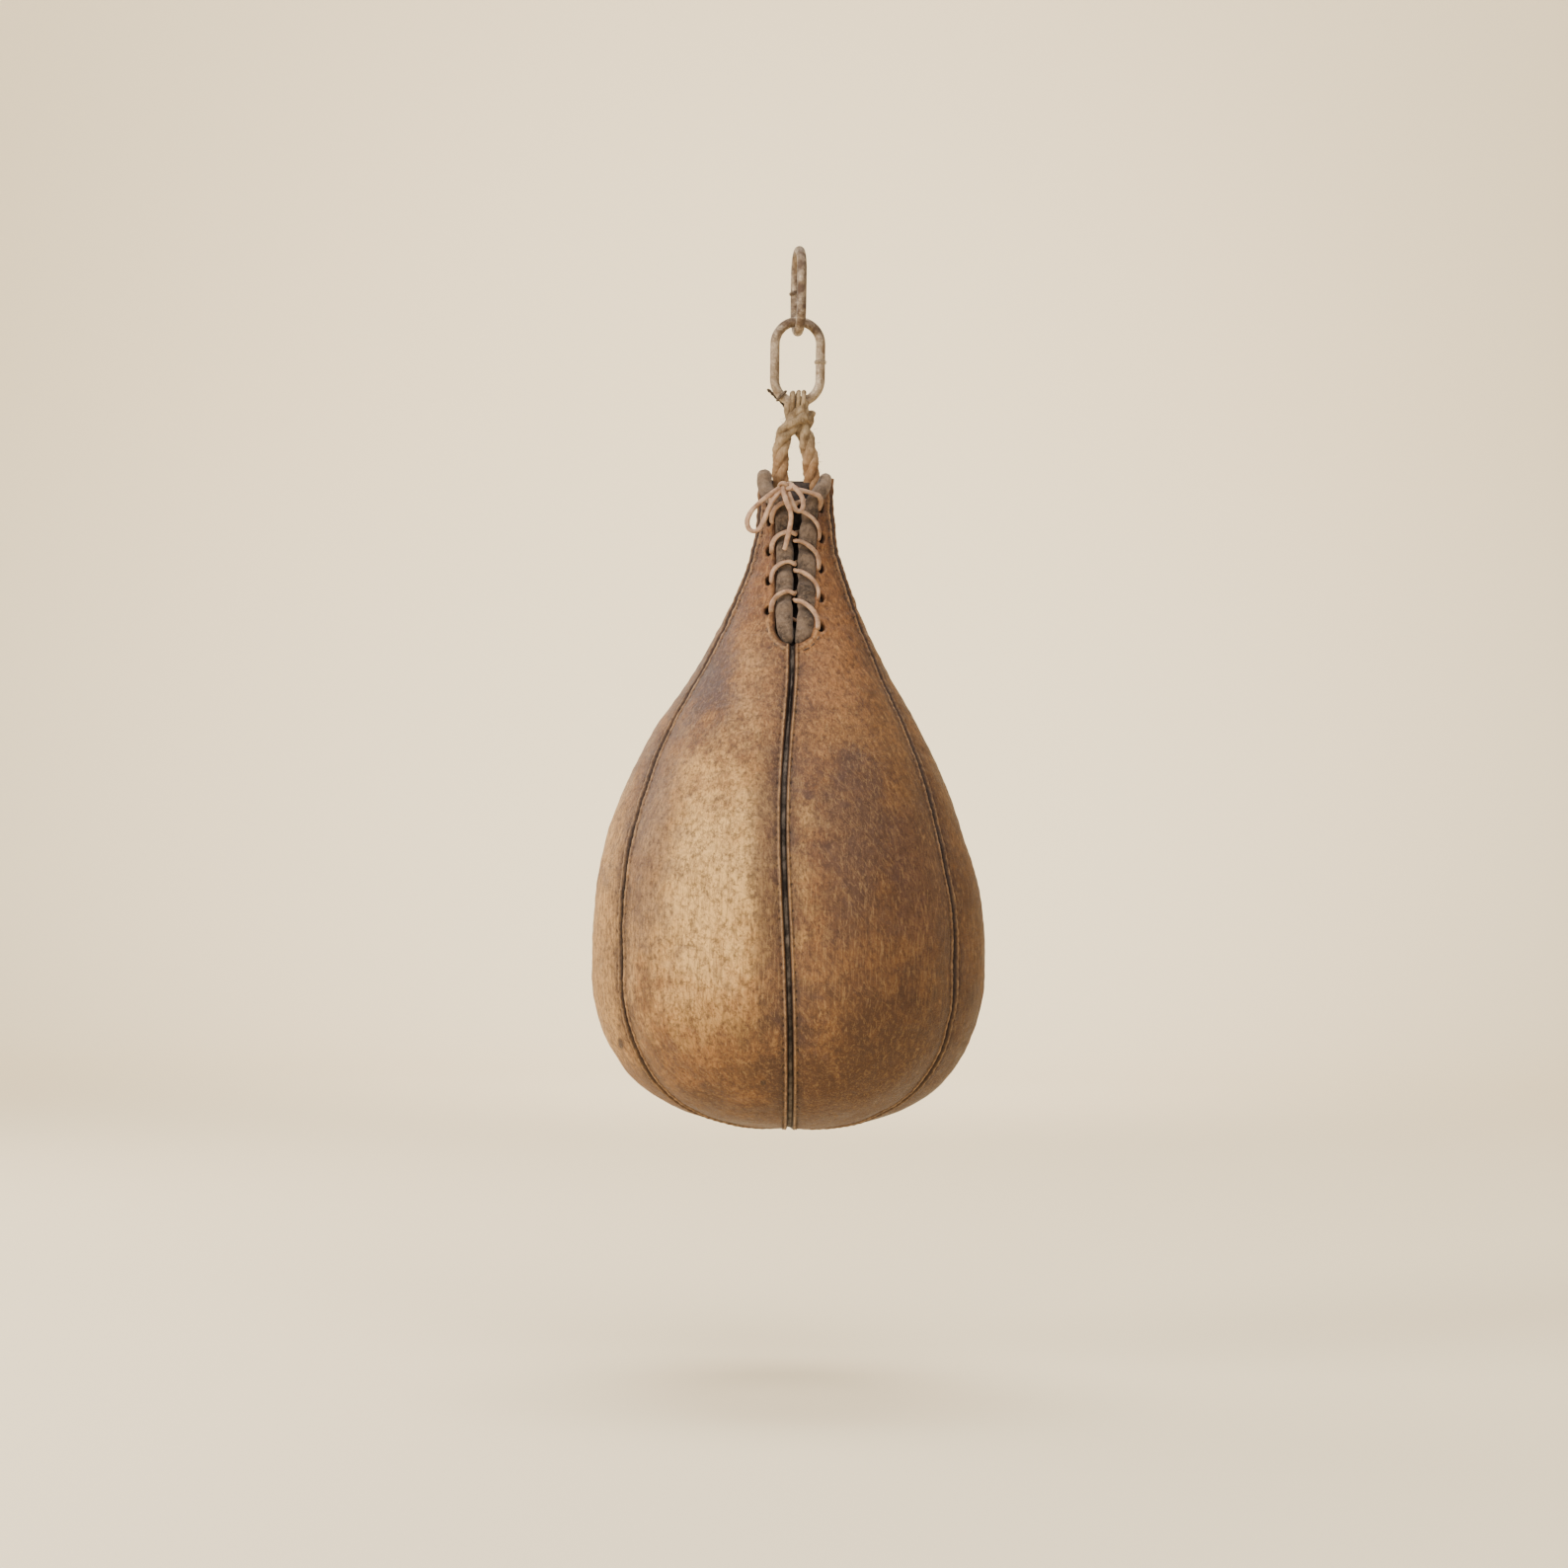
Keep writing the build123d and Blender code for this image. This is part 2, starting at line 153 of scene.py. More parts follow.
def seam_angle(k, drop):
    """Azimuth of seam k at a drop. Seam 0 is the front one, and they count towards +X."""
    angle = k * SEAM_STEP + 0 * drop
    if k == 0:
        radius = np.maximum(np.interp(drop, OUT_DROP, OUT_R), 20)
        return angle + 1.4 * np.sin(drop / 46.0) / radius * smooth(drop, 98, 130)
    if k == 1:
        return angle + seam_drift(drop)
    if k == 5:
        return angle - seam_drift(drop)
    return angle


def skin_points(azimuth, arc, depth, across):
    """Points of the bag's skin at an azimuth and an arc length, sunk by depth.

    across is -1 and 1 at a gore's two seams, and 0 at its middle, where it bulges most.
    """
    radius, drop = radius_at(arc), drop_at(arc)
    along_r = radius_at(arc + 0.5) - radius_at(arc - 0.5)
    along_d = drop_at(arc + 0.5) - drop_at(arc - 0.5)
    length = np.hypot(along_r, along_d)
    out_r, out_z = along_d / length, along_r / length
    lobe = LOBE * smooth(radius, 26, 70) * across**2
    r = radius * (1 - lobe) - out_r * depth
    z = RIM - drop - out_z * depth
    lean = -3.7 * bell(drop, 185, 72.0)  # the worn bag bulges a little to one side
    return np.stack([r * np.sin(azimuth) + lean, -r * np.cos(azimuth), z], axis=-1)


def on_front(x, drop, depth):
    """A point of the bag's front at x, drop below the rim, sunk by depth."""
    radius = float(np.interp(max(drop, 0), OUT_DROP, OUT_R))
    turn = math.asin(max(-1, min(1, x / radius)))
    inside = radius - depth
    return Vector((inside * math.sin(turn), -inside * math.cos(turn), RIM - drop))


def slit_half(drop):
    """Half width of the laced opening at a drop, and 0 below its foot."""
    drops, halves = zip(*SLIT_EDGE)
    low = np.sqrt(np.maximum(SLIT_HALF**2 - np.maximum(drop - ROUND_TOP, 0) ** 2, 0))
    return np.where(drop > ROUND_TOP, low, np.interp(drop, drops, halves))


# ---- mesh making

def join(parts):
    """One list of points and faces from several."""
    verts, faces = [], []
    for part_verts, part_faces in parts:
        base = len(verts)
        verts.extend(np.asarray(part_verts).tolist())
        faces.extend([tuple(base + i for i in face) for face in part_faces])
    return verts, faces


def mesh(name, parts, material, body, closed=True, attributes=None):
    """A piece from parts, each of points in millimetres and faces, on a body and in a slot.

    A closed piece's faces are turned to face outwards. An open one's are kept as they are.
    """
    verts, faces = join(parts)
    data = bpy.data.meshes.new(name)
    data.from_pydata((np.asarray(verts, float) * MM).tolist(), [], faces)
    data.validate()
    data.update()
    if closed:
        work = bmesh.new()
        work.from_mesh(data)
        bmesh.ops.recalc_face_normals(work, faces=work.faces)
        work.to_mesh(data)
        work.free()
    data.shade_smooth()
    for key, values in (attributes or {}).items():
        layer = data.attributes.new(key, "FLOAT", "POINT")
        layer.data.foreach_set("value", np.asarray(values, np.float32))
    data.materials.append(material)
    piece = bpy.data.objects.new(name, data)
    bpy.context.scene.collection.objects.link(piece)
    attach(piece, body)
    return piece


def grid_faces(rows, columns, closed=False):
    """Quads of a grid of points, row by row. A closed grid's last column meets its first."""
    faces = []
    for row in range(0, (rows - 1) * columns, columns):
        for j in range(columns if closed else columns - 1):
            k = (j + 1) % columns
            faces.append((row + j, row + k, row + columns + k, row + columns + j))
    return faces


def lengths(line):
    """How far each point of a line is along it."""
    return np.concatenate([[0], np.cumsum(np.linalg.norm(np.diff(line, axis=0), axis=1))])


def route(points, step=0.8):
    """Evenly spaced points of the smooth line that a NURBS spline makes of a route."""
    curve = bpy.data.curves.new("route", "CURVE")
    curve.dimensions = "3D"
    spline = curve.splines.new("NURBS")
    spline.points.add(len(points) - 1)
    for point, place in zip(spline.points, points):
        point.co = (*place, 1)
    spline.order_u = 3
    spline.use_endpoint_u = True
    spline.resolution_u = 16
    holder = bpy.data.objects.new("route", curve)
    made = bpy.data.meshes.new_from_object(holder)
    line = np.array([v.co[:] for v in made.vertices])
    bpy.data.objects.remove(holder)
    bpy.data.curves.remove(curve)
    bpy.data.meshes.remove(made)
    arc = lengths(line)
    count = max(int(arc[-1] / step), 8)
    places = np.linspace(0, arc[-1], count + 1)
    return np.stack([np.interp(places, arc, line[:, i]) for i in range(3)], axis=-1)


def frames(line, up=(0, -1, 0)):
    """Side and lift directions along a line, turning as little as they can."""
    tangents = np.gradient(line, axis=0)
    tangents /= np.linalg.norm(tangents, axis=1)[:, None]
    lift = np.array(up, float)
    sides, lifts = [], []
    for tangent in tangents:
        lift = lift - tangent * np.dot(lift, tangent)
        lift /= np.linalg.norm(lift)
        lifts.append(lift)
        sides.append(np.cross(lift, tangent))
    return tangents, np.array(sides), np.array(lifts)


def swept(line, wide, thick, around=12, up=(0, -1, 0), turn=None, square=2.0, rough=0.0, seed=0.0):
    """A closed tube along a line.

    wide and thick are half sizes, numbers or one for each point. turn is an angle for each
    point, square is 2 for an oval section and more for a boxy one, and rough shifts the points.
    """
    tangents, sides, lifts = frames(line, up)
    count = len(line)
    wide, thick = np.broadcast_to(wide, count), np.broadcast_to(thick, count)
    turn = np.zeros(count) if turn is None else turn
    angles = np.linspace(0, TURN, around, endpoint=False)
    power = 2.0 / square
    x = np.sign(np.cos(angles)) * np.abs(np.cos(angles)) ** power
    y = np.sign(np.sin(angles)) * np.abs(np.sin(angles)) ** power
    verts = []
    for i in range(count):
        c, s = math.cos(turn[i]), math.sin(turn[i])
        side, lift = sides[i] * c + lifts[i] * s, lifts[i] * c - sides[i] * s
        ring = line[i] + np.outer(x * wide[i], side) + np.outer(y * thick[i], lift)
        verts.append(ring)
    verts = np.concatenate(verts)
    if rough:
        shifts = [noise.noise_vector(Vector(v) * 0.35 + Vector((seed, seed, 0))) for v in verts]
        verts = verts + rough * np.array(shifts)
    faces = grid_faces(count, around, closed=True)
    ends = [line[0] - tangents[0] * thick[0] * 0.5, line[-1] + tangents[-1] * thick[-1] * 0.5]
    verts = np.concatenate([verts, ends])
    first, last = count * around, count * around + 1
    top = (count - 1) * around
    faces += [(first, (j + 1) % around, j) for j in range(around)]
    faces += [(last, top + j, top + (j + 1) % around) for j in range(around)]
    return verts, faces


def twisted(line, radius, pitch, strands=3, around=10, seed=0.0):
    """The strands of a laid rope along a line."""
    _, sides, lifts = frames(line)
    arc = lengths(line)
    inner = radius * 0.44  # from the rope's middle to a strand's
    parts = []
    for k in range(strands):
        angle = TURN * (arc / pitch + k / strands)
        wobble = 1 + 0.06 * np.sin(arc * 0.9 + k * 2 + seed) + 0.05 * np.sin(arc * 2.3 + k)
        centre = line + inner * (sides * np.cos(angle)[:, None] + lifts * np.sin(angle)[:, None])
        wide, thick = radius * 0.6 * wobble, radius * 0.58 * wobble
        parts.append(swept(centre, wide, thick, around, rough=0.16, seed=seed + k))
    return join(parts)


# ---- materials

class Shader:
    """The nodes of one material, whose colour is built up in layers."""

    def __init__(self, name):
        self.material = bpy.data.materials.new(name)
        self.material.use_nodes = True
        self.tree = self.material.node_tree
        self.tree.nodes.clear()
        out = self.add("ShaderNodeOutputMaterial")
        self.bsdf = self.add("ShaderNodeBsdfPrincipled")
        self.feed(out, "Surface", self.bsdf.outputs[0])
        self.coords = self.add("ShaderNodeTexCoord").outputs["Object"]

    def add(self, kind, inputs=None, **settings):
        """A node with its settings, and a number or a link for each of some inputs."""
        node = self.tree.nodes.new(kind)
        for key, value in settings.items():
            setattr(node, key, value)
        for key, value in (inputs or {}).items():
            self.feed(node, key, value)
        return node

    def feed(self, node, key, value):
        if isinstance(value, bpy.types.NodeSocket):
            self.tree.links.new(value, node.inputs[key])
        else:
            node.inputs[key].default_value = value

    def stretch(self, scale, turn=(0.0, 0.0, 0.0)):
        """The object's coordinates, turned and then scaled."""
        turned = self.add("ShaderNodeMapping", {"Rotation": turn, "Vector": self.coords})
        return self.add("ShaderNodeMapping", {"Scale": scale, "Vector": turned.outputs[0]}).outputs[0]

    def noise(self, scale, detail=4.0, rough=0.6, vector=None, distortion=0.0):
        return self.add("ShaderNodeTexNoise", {
            "Scale": scale, "Detail": detail, "Roughness": rough, "Distortion": distortion,
            "Vector": vector or self.coords,
        }).outputs["Fac"]

    def cells(self, scale, feature="DISTANCE_TO_EDGE", vector=None):
        inputs = {"Scale": scale, "Vector": vector or self.coords}
        return self.add("ShaderNodeTexVoronoi", inputs, feature=feature).outputs["Distance"]

    def ramp(self, value, low, high, start=0.0, end=1.0):
        inputs = {"Value": value, "From Min": low, "From Max": high, "To Min": start, "To Max": end}
        return self.add("ShaderNodeMapRange", inputs, interpolation_type="SMOOTHSTEP").outputs[0]

    def math(self, operation, a, b):
        return self.add("ShaderNodeMath", {0: a, 1: b}, operation=operation).outputs[0]

    def mix(self, a, b, factor):
        node = self.add("ShaderNodeMix", data_type="RGBA")
        for key, value in ((6, a), (7, b), (0, factor)):
            self.feed(node, key, (*value, 1.0) if isinstance(value, tuple) else value)
        return node.outputs[2]

    def tint(self, shade, mask, strength=1.0):
        """Turn the colour towards a shade, as far as a mask and a strength say."""
        self.colour = self.mix(self.colour, shade, self.math("MULTIPLY", mask, strength))

    def attribute(self, name):
        return self.add("ShaderNodeAttribute", attribute_name=name).outputs["Fac"]

    def place(self, axis):
        return self.add("ShaderNodeSeparateXYZ", {0: self.coords}).outputs[axis]

    def patch(self, centre, reach):
        """1 inside a ragged ellipsoid and 0 outside it."""
        node = self.add("ShaderNodeMapping", {
            "Scale": [1 / r for r in reach], "Location": [-c / r for c, r in zip(centre, reach)],
            "Vector": self.coords,
        })
        away = self.add("ShaderNodeVectorMath", {0: node.outputs[0]}, operation="LENGTH")
        ragged = self.ramp(self.noise(55.0, 6.0, 0.72), 0.3, 0.7, -0.36, 0.36)
        return self.ramp(self.math("ADD", away.outputs["Value"], ragged), 0.5, 1.2, 1.0, 0.0)

    def bump(self, height, strength, distance, under=None):
        inputs = {"Strength": strength, "Distance": distance, "Height": height}
        if under:
            inputs["Normal"] = under
        return self.add("ShaderNodeBump", inputs).outputs[0]

    def finish(self, roughness, normal=None, metallic=0.0, specular=0.5):
        inputs = {"Base Color": self.colour, "Roughness": roughness, "Metallic": metallic,
                  "Specular IOR Level": specular}
        if normal:
            inputs["Normal"] = normal
        for key, value in inputs.items():
            self.feed(self.bsdf, key, value)
        return self.material


def leather_material():
    """Old brown glove leather: golden where rubbed, partly a painted highlight on the left, purple-brown
    stains, painted shade in the seams and holes, darker near the seams and on the right.
    """
    s = Shader("old_leather")
    broad = s.ramp(s.noise(9.0, 4.0, 0.6, distortion=0.6), 0.38, 0.64)
    cloud = s.ramp(s.noise(44.0, 8.0, 0.74, distortion=0.5), 0.34, 0.66)
    streak = s.ramp(s.noise(1.0, 6.0, 0.72, s.stretch((580.0, 580.0, 84.0)), 0.8), 0.36, 0.66)
    slant = s.noise(1.0, 5.0, 0.7, s.stretch((520.0, 520.0, 96.0), (0.0, 0.7, 0.0)), 0.8)
    slant = s.ramp(slant, 0.38, 0.66)
    fine = s.ramp(s.noise(330.0, 7.0, 0.78), 0.36, 0.64)
    pores = s.ramp(s.noise(1000.0, 2.0, 0.6), 0.38, 0.62)
    s.colour = s.mix((0.105, 0.04, 0.014), (0.285, 0.125, 0.04), cloud)
    s.tint((0.37, 0.178, 0.058), broad, 0.45)
    # Darker on the right: partly darker skin, partly painted shade where the light from the left falls off
    right = s.ramp(s.place(0), -0.004, 0.045)
    below = s.ramp(s.place(2), -0.24, -0.33)
    s.tint((0.058, 0.023, 0.009), s.math("MULTIPLY", right, below), 0.52)
    # Golden skin on the left, stains, darker patches low on the right and at the bottom, a nick and a small
    # hole: place and reach in metres, colour, strength
    for centre, reach, shade, strength in (
        # Golden on the left and at its left edge: partly rubbed skin, partly a painted highlight of the
        # light from the left
        ((-0.05, -0.1, -0.365), (0.06, 0.09, 0.095), (0.69, 0.385, 0.12), 0.68),
        ((-0.045, -0.11, -0.366), (0.04, 0.07, 0.056), (0.8, 0.5, 0.18), 0.46),
        ((-0.112, -0.04, -0.38), (0.034, 0.09, 0.13), (0.54, 0.3, 0.106), 0.72),
        ((-0.03, -0.09, -0.23), (0.026, 0.06, 0.05), (0.48, 0.255, 0.09), 0.55),
        ((0.026, -0.06, -0.225), (0.036, 0.06, 0.05), (0.33, 0.135, 0.042), 0.6),
        ((-0.05, -0.06, -0.242), (0.019, 0.06, 0.042), (0.06, 0.036, 0.04), 0.86),
        ((-0.084, -0.08, -0.33), (0.024, 0.07, 0.085), (0.095, 0.05, 0.042), 0.62),
        ((-0.01, -0.11, -0.345), (0.014, 0.05, 0.12), (0.092, 0.042, 0.022), 0.72),
        ((0.034, -0.1, -0.345), (0.024, 0.06, 0.07), (0.066, 0.04, 0.031), 0.42),
        ((0.074, -0.08, -0.36), (0.022, 0.07, 0.06), (0.075, 0.036, 0.03), 0.42),
        # Darker low on the right, partly painted shade, and darker towards the bottom
        ((0.055, -0.06, -0.49), (0.12, 0.1, 0.075), (0.048, 0.018, 0.007), 0.8),
        ((-0.05, -0.05, -0.512), (0.09, 0.09, 0.036), (0.09, 0.038, 0.014), 0.6),
        ((-0.097, -0.04, -0.462), (0.0024, 0.02, 0.0046), (0.022, 0.008, 0.006), 0.92),
        ((-0.0145, -0.093, -0.479), (0.0017, 0.02, 0.0017), (0.012, 0.006, 0.004), 0.95),
    ):
        s.tint(shade, s.patch(centre, reach), strength)
    neck = s.ramp(s.place(2), -0.255, -0.175)
    neck = s.math("MULTIPLY", neck, s.ramp(s.noise(60.0, 4.0, 0.6), 0.3, 0.7, 0.4, 1.0))
    s.tint((0.2, 0.066, 0.021), neck, 0.62)
    stain = s.ramp(s.noise(26.0, 5.0, 0.7, distortion=1.2), 0.54, 0.68)
    s.tint((0.084, 0.042, 0.034), stain, 0.56)
    # Darker in a ragged band near the seams
    darkening = s.attribute("darkening")
    darkening = s.math("MULTIPLY", darkening, s.ramp(s.noise(42.0, 6.0, 0.75), 0.36, 0.6, 0.15, 1.0))
    s.tint((0.055, 0.026, 0.02), darkening, 0.84)
    # Fine mottling and fibres, down the bag and aslant
    s.tint((0.045, 0.018, 0.008), s.ramp(fine, 0.0, 0.6, 1.0, 0.0), 0.62)
    s.tint((0.05, 0.022, 0.01), s.ramp(streak, 0.0, 0.6, 1.0, 0.0), 0.46)
    s.tint((0.06, 0.028, 0.016), s.ramp(slant, 0.0, 0.4, 1.0, 0.0), 0.26)
    s.tint((0.64, 0.39, 0.155), s.ramp(streak, 0.66, 1.0), 0.15)
    s.tint((0.52, 0.29, 0.11), s.ramp(slant, 0.62, 1.0), 0.13)
    # Scratches: short thin light lines, one way and another
    lines = None
    for scale in ((620.0, 620.0, 60.0), (520.0, 90.0, 520.0)):
        line = s.ramp(s.noise(1.0, 2.0, 0.5, s.stretch(scale), 1.2), 0.63, 0.7)
        lines = line if lines is None else s.math("MAXIMUM", lines, line)
    s.tint((0.52, 0.32, 0.15), lines, 0.1)
    cracks = s.ramp(s.cells(430.0, vector=s.stretch((1.0, 1.0, 0.55))), 0.0, 0.09, 1.0, 0.0)
    cracked = s.math("MULTIPLY", cracks, s.ramp(s.noise(30.0, 3.0, 0.6), 0.4, 0.62))
    s.tint((0.04, 0.018, 0.009), cracked, 0.2)
    # Painted highlight with some wear on the raised leather beside the seams and on the ring round the foot
    ridge_highlight_and_wear = s.math("MULTIPLY", s.attribute("ridge"), s.ramp(fine, 0.2, 0.9, 0.35, 1.0))
    s.tint((0.48, 0.28, 0.13), ridge_highlight_and_wear, 0.6)
    # Painted shade in the seam grooves and along the rolled edge of the opening
    s.tint((0.016, 0.009, 0.007), s.attribute("seam"), 0.97)
    # Painted shade inside the stitch holes and eyelets
    s.tint((0.006, 0.004, 0.003), s.attribute("hole"))
    rough = s.math("ADD", s.ramp(cloud, 0.0, 1.0, 0.5, 0.62), s.math("MULTIPLY", lines, 0.12))
    grain = s.bump(s.cells(820.0, "F1"), 0.26, 0.0005)
    grain = s.bump(s.math("ADD", cracked, s.math("MULTIPLY", lines, -0.5)), 0.22, -0.0004, grain)
    grain = s.bump(s.math("ADD", fine, pores), 0.3, 0.0008, grain)
    return s.finish(rough, grain, specular=0.28)


def suede_material():
    """Grey-brown suede, rubbed, with painted shade under the laces and on its inward side."""
    s = Shader("old_suede")
    nap = s.noise(520.0, 5.0, 0.75)
    cloud = s.ramp(s.noise(95.0, 5.0, 0.65), 0.34, 0.68)
    s.colour = s.mix((0.028, 0.018, 0.012), (0.14, 0.092, 0.06), cloud)
    s.tint((0.225, 0.15, 0.098), s.ramp(nap, 0.42, 0.7), 0.5)
    ears = s.ramp(s.place(2), -0.143, -0.133)
    s.tint((0.26, 0.18, 0.12), s.math("MULTIPLY", ears, cloud), 0.7)
    # Painted shade under the laces and on the inward side of each roll
    s.tint((0.03, 0.02, 0.015), s.attribute("painted_shade"), 0.85)
    bump = s.bump(nap, 0.55, 0.0009)
    s.bsdf.inputs["Sheen Weight"].default_value = 0.08
    s.bsdf.inputs["Sheen Roughness"].default_value = 0.6
    return s.finish(0.93, bump, specular=0.2)


def lace_material():
    """A pale rawhide thong, dirty in its creases."""
    s = Shader("rawhide")
    cloud = s.ramp(s.noise(160.0, 4.0, 0.65), 0.32, 0.7)
    s.colour = s.mix((0.22, 0.116, 0.062), (0.45, 0.28, 0.17), cloud)
    speck = s.ramp(s.noise(700.0, 3.0, 0.7), 0.5, 0.7)
    s.tint((0.18, 0.1, 0.062), speck, 0.45)
    bump = s.bump(s.noise(800.0, 4.0, 0.7), 0.3, 0.0005)
    s.bsdf.inputs["Subsurface Weight"].default_value = 0.08
    s.bsdf.inputs["Subsurface Scale"].default_value = 0.002
    return s.finish(0.58, bump, specular=0.4)


def rope_material():
    """Worn natural fibre rope: fibres along the strands, browner near the bag."""
    s = Shader("old_rope")
    fibre = s.noise(1.0, 5.0, 0.7, s.stretch((1500.0, 1500.0, 240.0)), 0.6)
    cloud = s.ramp(s.noise(130.0, 4.0, 0.6), 0.34, 0.68)
    s.colour = s.mix((0.14, 0.088, 0.044), (0.35, 0.245, 0.138), cloud)
    s.tint((0.48, 0.37, 0.235), s.ramp(fibre, 0.5, 0.72), 0.5)
    s.tint((0.085, 0.055, 0.035), s.ramp(fibre, 0.3, 0.46, 1.0, 0.0), 0.7)
    warm = s.ramp(s.place(2), -0.132, -0.104, 1.0, 0.0)
    s.tint((0.33, 0.15, 0.055), warm, 0.6)
    bump = s.bump(fibre, 0.7, 0.0011)
    return s.finish(0.92, bump, specular=0.2)


def link_material():
    """Old zinc-plated steel: dull tan metal, rust, and darker patches from where the links meet upwards."""
    s = Shader("old_steel")
    cloud = s.ramp(s.noise(120.0, 6.0, 0.72, distortion=0.5), 0.36, 0.66)
    speck = s.ramp(s.noise(750.0, 4.0, 0.7), 0.46, 0.62)
    s.colour = s.mix((0.19, 0.128, 0.074), (0.41, 0.318, 0.215), cloud)
    s.tint((0.15, 0.075, 0.035), speck, 0.45)
    # Darker in ragged patches from where the two links meet upwards
    darkening = s.math("MULTIPLY", s.ramp(s.place(2), -0.0535, -0.042), s.ramp(s.noise(170.0, 4.0), 0.36, 0.58))
    s.tint((0.06, 0.03, 0.018), darkening, 0.8)
    rough = s.ramp(cloud, 0.0, 1.0, 0.62, 0.4)
    bump = s.bump(speck, 0.35, 0.0005, s.bump(cloud, 0.3, 0.001))
    return s.finish(rough, bump, metallic=0.55)


def plain_material(name, dark, light, scale, rough, grain=600.0, stretch=(1.0, 1.0, 1.0), depth=0.0006):
    """A two-tone material with a fine grain."""
    s = Shader(name)
    vector = s.stretch(stretch)
    cloud = s.ramp(s.noise(scale, 5.0, 0.65, vector), 0.34, 0.68)
    speck = s.noise(grain, 4.0, 0.7, vector)
    s.colour = s.mix(dark, light, cloud)
    s.tint(dark, s.ramp(speck, 0.5, 0.72), 0.6)
    return s.finish(rough, s.bump(speck, 0.5, depth), specular=0.3)


def canvas_material():
    """Plain-woven cotton duck."""
    s = Shader("cotton_duck")
    weave = None
    for scale in ((900.0, 900.0, 60.0), (60.0, 60.0, 900.0)):
        thread = s.noise(1.0, 2.0, 0.5, s.stretch(scale))
        weave = thread if weave is None else s.math("MAXIMUM", weave, thread)
    s.colour = s.mix((0.33, 0.27, 0.185), (0.6, 0.53, 0.4), s.ramp(weave, 0.4, 0.66))
    return s.finish(0.9, s.bump(weave, 0.5, 0.0005), specular=0.2)


LEATHER_LOOK = leather_material()
SUEDE_LOOK = suede_material()
LACE_LOOK = lace_material()
ROPE_LOOK = rope_material()
LINK_LOOK = link_material()
WELT_LOOK = plain_material("worn_welt", (0.022, 0.016, 0.013), (0.15, 0.118, 0.095), 140.0, 0.85)
THREAD_LOOK = plain_material("waxed_thread", (0.045, 0.026, 0.016), (0.15, 0.095, 0.058), 500.0, 0.7,
                             2200.0)
INNER_LOOK = plain_material("rough_leather", (0.016, 0.011, 0.01), (0.075, 0.056, 0.046), 120.0, 0.92)
TWINE_LOOK = plain_material("dark_twine", (0.02, 0.014, 0.01), (0.15, 0.105, 0.07), 300.0, 0.9, 1800.0)
WOOD_LOOK = plain_material("turned_wood", (0.15, 0.08, 0.038), (0.36, 0.22, 0.115), 60.0, 0.5, 300.0,
                           (1.0, 6.0, 1.0))
RUBBER_LOOK = plain_material("old_rubber", (0.08, 0.03, 0.022), (0.2, 0.085, 0.06), 70.0, 0.6)
CANVAS_LOOK = canvas_material()


# ---- leather gores

GORES = ["front_right", "right", "back_right", "back_left", "left", "front_left"]
ROWS = (0.5, 1.15)  # spacing of a gore's rows in the throat and below it
THROAT = 104.0
LACED_COLUMNS, PLAIN_COLUMNS = 118, 84
SQUEEZE = 0.105  # how much closer the columns are near a seam, where the leather turns in
NO_EDGE = 99.0  # distance to the opening on a gore that has none
SIDE_SEAM = 0.82  # scale of the distances from every other seam, which are wider than the front one
SEAM_GAP = 0.35  # from the middle of a seam to the edge of a gore


def gore_arcs():
    """Arc lengths of a gore's rows, closer together in the throat."""
    split = arc_at(THROAT)
    top = np.linspace(0, split, int(split / ROWS[0]))
    low = np.linspace(split, ARC_LENGTH - 0.6, int((ARC_LENGTH - split) / ROWS[1]))[1:]
    return np.concatenate([top, low])


def gore_sink(arc, drop, near, edge):
    """How deep the skin sinks at a point, and its seam, ridge and hole marks: the seams and holes are later
    painted dark as shade, the ridges light as a painted highlight with wear.

    near is the distance to the nearest seam, and edge to the edge of the laced opening.
    """
    fade = smooth(drop, -4, 22)
    beat = np.cos(TURN * arc / STITCH_PITCH)
    at_stitch = np.maximum(beat, 0) ** 6
    groove = 3.0 * bell(near, 0, 1.75, 4)
    raised = (0.8 - 0.12 * beat) * bell(near, 3.0, 0.9)
    line = bell(near, STITCH_OUT, 0.62)
    sink = fade * (groove - raised + line * (0.22 + 0.75 * at_stitch))
    # seam: painted shade in the groove, with a faint darkening out along the stitch rows
    seam = fade * np.clip(1.25 * bell(near, 0, 2.35, 4) + 0.25 * bell(near, 5.2, 2.0), 0, 1)
    # ridge: the raised leather beside a seam, later lightened as a painted highlight with wear
    ridge = fade * bell(near, 3.1, 0.7)
    # hole: the stitch holes, later filled with painted shade
    hole = fade * np.clip(line * at_stitch * 1.25 - 0.12, 0, 1) * 0.9
    # Rolled edge of the opening, with a low ring round its foot
    foot = smooth(drop, 80, 90)
    ring = foot * bell(edge, 3.8, 0.8)
    sink = sink + 1.7 * bell(edge, 0, 1.0) - 0.45 * bell(edge, 2.6, 1.0)
    sink = sink - 0.55 * ring + 0.35 * foot * bell(edge, 2.0, 0.8)
    # The ring round the foot takes the same painted highlight
    ridge = np.maximum(ridge, 0.8 * ring)
    # Painted shade along the rolled edge of the opening
    seam = np.maximum(seam, 0.75 * bell(edge, 0, 1.3))
    return sink, seam, ridge, hole


